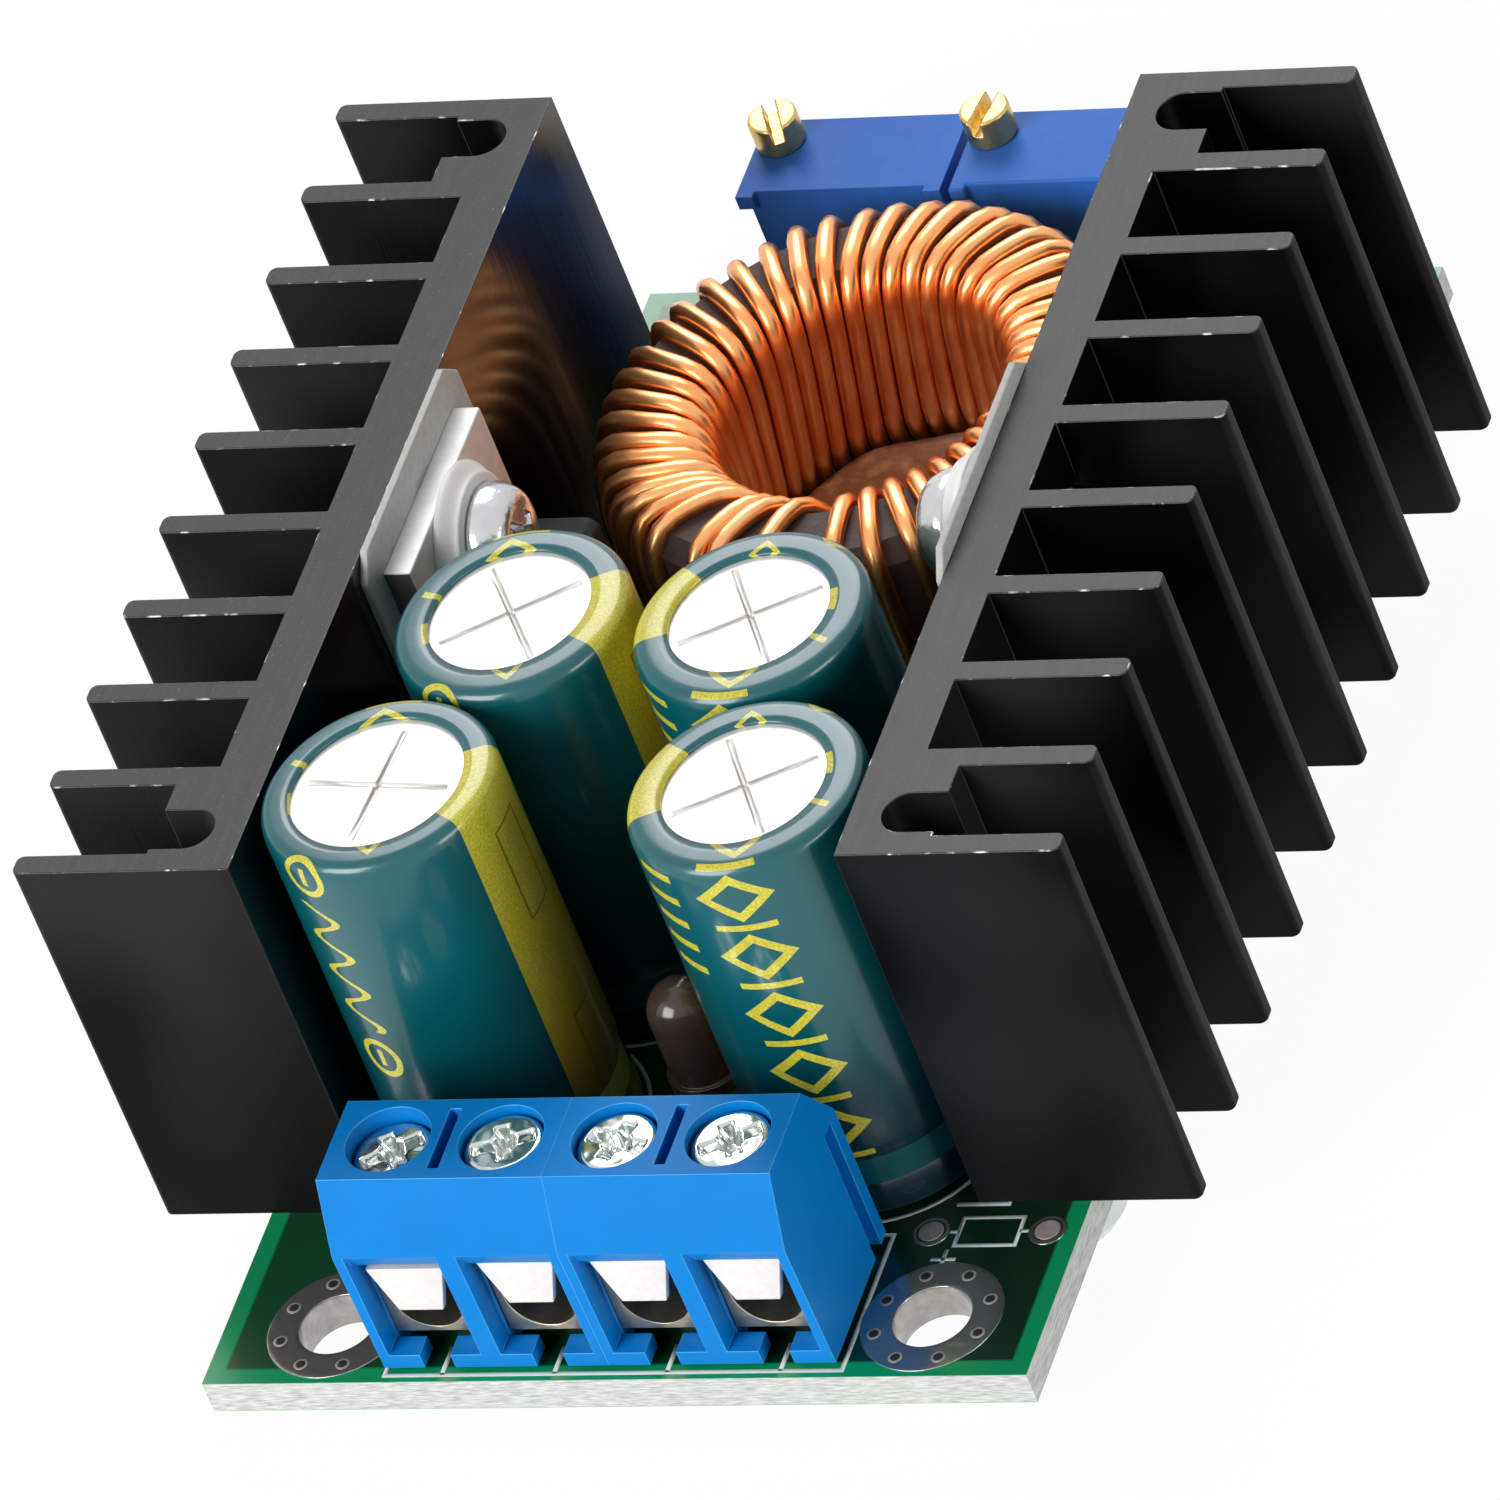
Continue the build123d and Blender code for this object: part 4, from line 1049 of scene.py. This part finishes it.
# The tab's end that faces -Y is coloured darker than the rest of the tab.
end_tones = (tone(58, 57, 56), tone(104, 103, 102))
tab_end = mottled("dark_tab_end", {"Metallic": 0.4}, (0.4, 4), end_tones, 0.5)
black_tones, dull = (tone(34, 32, 33), tone(22, 21, 22)), {"Specular IOR Level": 0.35}
moulding = mottled("black_moulding", dull, (0.18, 3), black_tones, (0.55, 0.2), 0.02)
milky = {"Subsurface Weight": 0.1, "Subsurface Scale": 0.0005}
nylon_tones = (tone(240, 239, 237), tone(228, 227, 225))
nylon = mottled("white_nylon", milky, (1.2,), nylon_tones, (0.45, 0.1), rough_grain=0.8)
chrome_tones = (tone(226, 226, 228), tone(196, 196, 198))
chrome = mottled("chromed_screw", {"Metallic": 0.7}, (0.7, 3), chrome_tones, (0.1, 0.12), 0.05)
SCREW_R, HEAD_LENGTH, HEAD_TURN = 1.4, 2.0, 0.6


def laid(grid, node, side):
    """The grid turned a quarter about Y, so that up becomes +X (side 1) or -X (side -1), with its
    foot at that end of the node's box and its axis through the box's middle."""
    low, high = limits(node)
    x, y, z = np.moveaxis(grid, -1, 0)
    foot_x = low[0] if side > 0 else high[0]
    middle = (low + high) / 2
    return np.stack([side * z, y, -side * x], axis=-1) + [foot_x, middle[1], middle[2]]


def pan_head(node, side):
    """Pan-head screw: shank, the head's rounded side and crown, and the recess pressed into it."""
    low, high = limits(node)
    length, head_r = high[0] - low[0], (high[2] - low[2]) / 2 - 0.4
    collar = length - HEAD_LENGTH
    shank = [(0, 0), (SCREW_R, 0), (SCREW_R, collar), (head_r, collar)]
    outline = shank + [(head_r, length - 1.3), (head_r * 0.8, length - 0.4), (0, length)]
    grid = turned(divided(rounded(outline, 0.5, 7), 0.07), (0, 0), 112)
    grid = pressed(grid, lambda x, y: driver_recess(x / 1.1, y / 1.1, HEAD_TURN, length - 0.05))
    return laid(grid, node, side)


def shoulder_bushing(node, side):
    """Bushing: a sleeve through the tab, then a coned flange that lies on the tab."""
    low, high = limits(node)
    tab_low, tab_high = limits(node.replace("bushing", "tab"))
    length, rim = high[0] - low[0], (high[2] - low[2]) / 2
    through = tab_high[0] - low[0] if side > 0 else high[0] - tab_low[0]
    bore, sleeve_r = SCREW_R + 0.05, SCREW_R + 0.35
    inside = [(bore, 0), (sleeve_r, 0), (sleeve_r, through), (rim, through), (rim, through + 0.25)]
    outline = inside + [(2.85, length - 0.25), (2.8, length), (bore, length), (bore, 0)]
    return laid(turned(divided(rounded(outline, 0.15, 4), 0.2), (0, 0), 96), node, side)


def tab_faces(normals, middles):
    """1 for the end cut at the moulding's side, 0 for the rest."""
    return np.where(normals[:, 1] < -0.9, 1, 0)


for side, word in ((1, "left"), (-1, "right")):
    name = f"power_device_{word}"
    screw_node, bushing_node = f"{name}_screw", f"{name}_bushing"
    show_for(skin(f"{word}_device_screw", [pan_head(screw_node, side)]), [chrome], screw_node)
    show_for(softened(f"{name}_pad", 0.08), [pad_finish], f"{name}_pad")
    show_for(softened(f"{name}_tab", 0.1, sort=tab_faces), [tab_finish, tab_end], f"{name}_tab")
    show_for(softened(f"{name}_body", 0.15), [moulding], f"{name}_body")
    bushing = skin(f"{word}_bushing", [shoulder_bushing(bushing_node, side)])
    show_for(bushing, [nylon], bushing_node)
print("power devices dressed")

# %% [markdown]
# ## Trimmers
# A trimmer is a blue case with a lid on it that stands out a little all round, and a slotted brass
# adjuster near one end. The CAD solid has that shape already, so a softened copy is dressed. The
# adjusters turn, so each rides on its own body, and its slot is pressed into a turned head.

# %% Trimmers
blue_tones, satin = (tone(44, 104, 198), tone(50, 112, 208)), {"Specular IOR Level": 0.2}
trimmer_blue = mottled("trimmer_moulding", satin, (0.6, 4), blue_tones, (0.42, 0.15), 0.01)
brass_tones = (tone(226, 196, 128), tone(188, 156, 92))
brass = mottled("brass", {"Metallic": 1.0}, (0.3, 4), brass_tones, (0.24, 0.2), 0.02)
SLOT_TURNS = {"left": 116.0, "right": 83.0}
SLOT_DEPTH, SLOT_WIDTH = 0.75, 0.6
STEM_R, KNOB_HEIGHT = 0.45, 1.5


def adjuster(node, turn_by):
    """Turned stem and head from the CAD box, with a slot right across: the floor lies a depth down
    where the distance from the slot's middle is under half its width."""
    low, high = limits(node)
    centre, head_r, collar = (low + high) / 2, (high[0] - low[0]) / 2, high[2] - KNOB_HEIGHT
    stem = [(0, low[2]), (STEM_R, low[2]), (STEM_R, collar), (head_r, collar)]
    outline = stem + [(head_r, high[2] - 0.1), (head_r - 0.1, high[2]), (0, high[2])]

    def slot_floor(x, y):
        off = abs(swung(x - centre[0], y - centre[1], turn_by)[1])
        return high[2] - SLOT_DEPTH * np.clip((SLOT_WIDTH / 2 - off) / 0.04, 0, 1)

    return pressed(turned(divided(rounded(outline, 0.06), 0.06), centre, 112), slot_floor)


for word, angle in SLOT_TURNS.items():
    show_for(softened(f"trimmer_{word}_body", 0.14), [trimmer_blue], f"trimmer_{word}_body")
    node = f"trimmer_{word}_screw"
    show_for(skin(f"{word}_adjuster", [adjuster(node, math.radians(angle))]), [brass], node)
print("trimmers dressed")

# %% [markdown]
# ## Indicator light and small parts
# The light is a clear epoxy dome on a wider foot. It isn't lit, and stands deep between the
# capacitors, so it shows little more than a brownish body and a glint. What is left of the CAD
# model already has its shape: leads, solder, screws underneath and the chips. Those nodes only
# get finishes.

# %% Indicator light and the rest
glassy = {"Transmission Weight": 0.35, "IOR": 1.5}
clear_tones = (tone(84, 68, 60), tone(66, 54, 48))
clear = mottled("clear_epoxy", glassy, (1.0,), clear_tones, (0.12, 0.08), rough_grain=1.4)
FOOT_HEIGHT, FOOT_EDGE = 0.7, 0.2


def dome_light(node):
    """Outline of a foot, a straight side and a quarter circle r (cos t, sin t) over it, turned."""
    low, high = limits(node)
    foot_r = (high[0] - low[0]) / 2
    dome_r, step = foot_r - FOOT_EDGE, low[2] + FOOT_HEIGHT
    arc = np.linspace(0, math.pi / 2, 24)
    dome = np.stack([dome_r * np.cos(arc), high[2] - dome_r + dome_r * np.sin(arc)], axis=1)
    foot = [(0, low[2]), (foot_r, low[2]), (foot_r, step), (dome_r, step), tuple(dome[0])]
    side_line = divided(rounded(foot, 0.1), 0.3)
    return turned(np.concatenate([side_line, dome]), (low + high) / 2, 72)


show_for(skin("lamp_dome", [dome_light("lamp_lens")]), [clear], "lamp_lens")

metal = {"Metallic": 1.0}
joint_tones = (tone(206, 208, 210), tone(170, 172, 176))
solder = mottled("solder", metal, (0.5,), joint_tones, (0.22, 0.15), rough_grain=0.9)
lead_tones = (tone(200, 200, 198), tone(160, 160, 158))
wire_tin = mottled("tinned_wire", metal, (0.4,), lead_tones, (0.3, 0.15), rough_grain=0.6)
chip_tones = (tone(120, 104, 82), tone(86, 74, 60))
ceramic = mottled("chip_ceramic", {}, (0.4,), chip_tones, (0.5, 0.2), rough_grain=0.3)
rest = {
    "coil_core": core_finish,
    "solder_joints": solder,
    "heatsink_screws": zinc,
    "control_chip_bodies": moulding,
    "chip_passives": ceramic,
    "current_shunt": ceramic,
}
for node in frame["nodes"]:
    if node.endswith("_leads") or node.endswith("_legs"):
        rest[node] = wire_tin
for node, finish in rest.items():
    frame["nodes"][node].data.materials.clear()
    frame["nodes"][node].data.materials.append(finish.material)
print(len(rest), "CAD nodes keep their shape")

# %% [markdown]
# ## Floor and light
# A plain white floor and a white surround. Both are plain white to the camera, to reflections and
# through glass, and dimmer as a source of light, so that the object keeps its contrast. The floor
# keeps a trace of its own shading, which is the object's shadow. The key lamp stands in front on
# the left, a second one high behind it lines the wires and rims with light, and a weak one low on
# the right opens the shaded faces. All three are large, because the real shadows are soft.

# %% Floor and world
FLOOR_HALF = 1.5
floor_mesh = bpy.data.meshes.new("floor")
floor_z = cad_box[0][2]
signs = ((-1, -1), (1, -1), (1, 1), (-1, 1))
floor_corners = [(x * FLOOR_HALF, y * FLOOR_HALF, floor_z) for x, y in signs]
floor_mesh.from_pydata(floor_corners, [], [(0, 1, 2, 3)])
floor = bpy.data.objects.new("floor", floor_mesh)
bpy.context.collection.objects.link(floor)
paper = {"Base Color": tone(250, 250, 250), "Roughness": 0.9, "Specular IOR Level": 0.0}
floor_finish = Finish("floor_white", paper)


def seen(finish):
    """1 for rays that reach an eye, a mirror or glass, and 0 for rays that only carry light."""
    kinds = ("Is Camera Ray", "Is Glossy Ray", "Is Transmission Ray")
    eye, mirror, glass = [finish.node("LightPath", {}, {}, kind) for kind in kinds]
    return eye | mirror | glass


WHITE_SHARE = 0.96
glow = floor_finish.node("Emission", {}, {"Color": (1, 1, 1, 1), "Strength": 1.0})
shaded = Field(floor_finish, floor_finish.shader.outputs[0])
share_of_glow = seen(floor_finish) * WHITE_SHARE
blend = floor_finish.node("MixShader", {}, {0: share_of_glow, 1: shaded, 2: glow})
output = floor_finish.tree.nodes["Material Output"]
floor_finish.tree.links.new(blend.socket, output.inputs["Surface"])
floor_mesh.materials.append(floor_finish.material)

world = bpy.data.worlds.new("surround")
world.use_nodes = True
bpy.context.scene.world = world


class Surround(Finish):
    """The world's network, written the same way as a finish."""

    def __init__(self, world):
        self.tree = world.node_tree
        self.shader = self.tree.nodes["Background"]


surround = Surround(world)
AMBIENT = 0.05
strength = AMBIENT + (1 - AMBIENT) * seen(surround)
surround.feed(surround.shader, {"Color": (1, 1, 1, 1), "Strength": strength})
print("floor at", round(floor_z / MM, 2), "mm")

# %% Lamps


def soft_lamp(name, place, size, watts):
    """Square area lamp at a place in millimetres, aimed at the middle of the board."""
    data = bpy.data.lights.new(name, "AREA")
    data.size = size * MM
    data.energy = watts
    lamp_object = bpy.data.objects.new(name, data)
    lamp_object.location = np.array(place) * MM
    aim = -lamp_object.location.normalized()
    lamp_object.rotation_euler = aim.to_track_quat("-Z", "Y").to_euler()
    bpy.context.collection.objects.link(lamp_object)


soft_lamp("key", (-230, -460, 290), 340, 3.8)
soft_lamp("back", (-120, 470, 430), 380, 2.6)
soft_lamp("fill", (430, -150, 75), 200, 0.9)

view = bpy.context.scene.view_settings
view.view_transform = "Standard"
print("lamps placed")
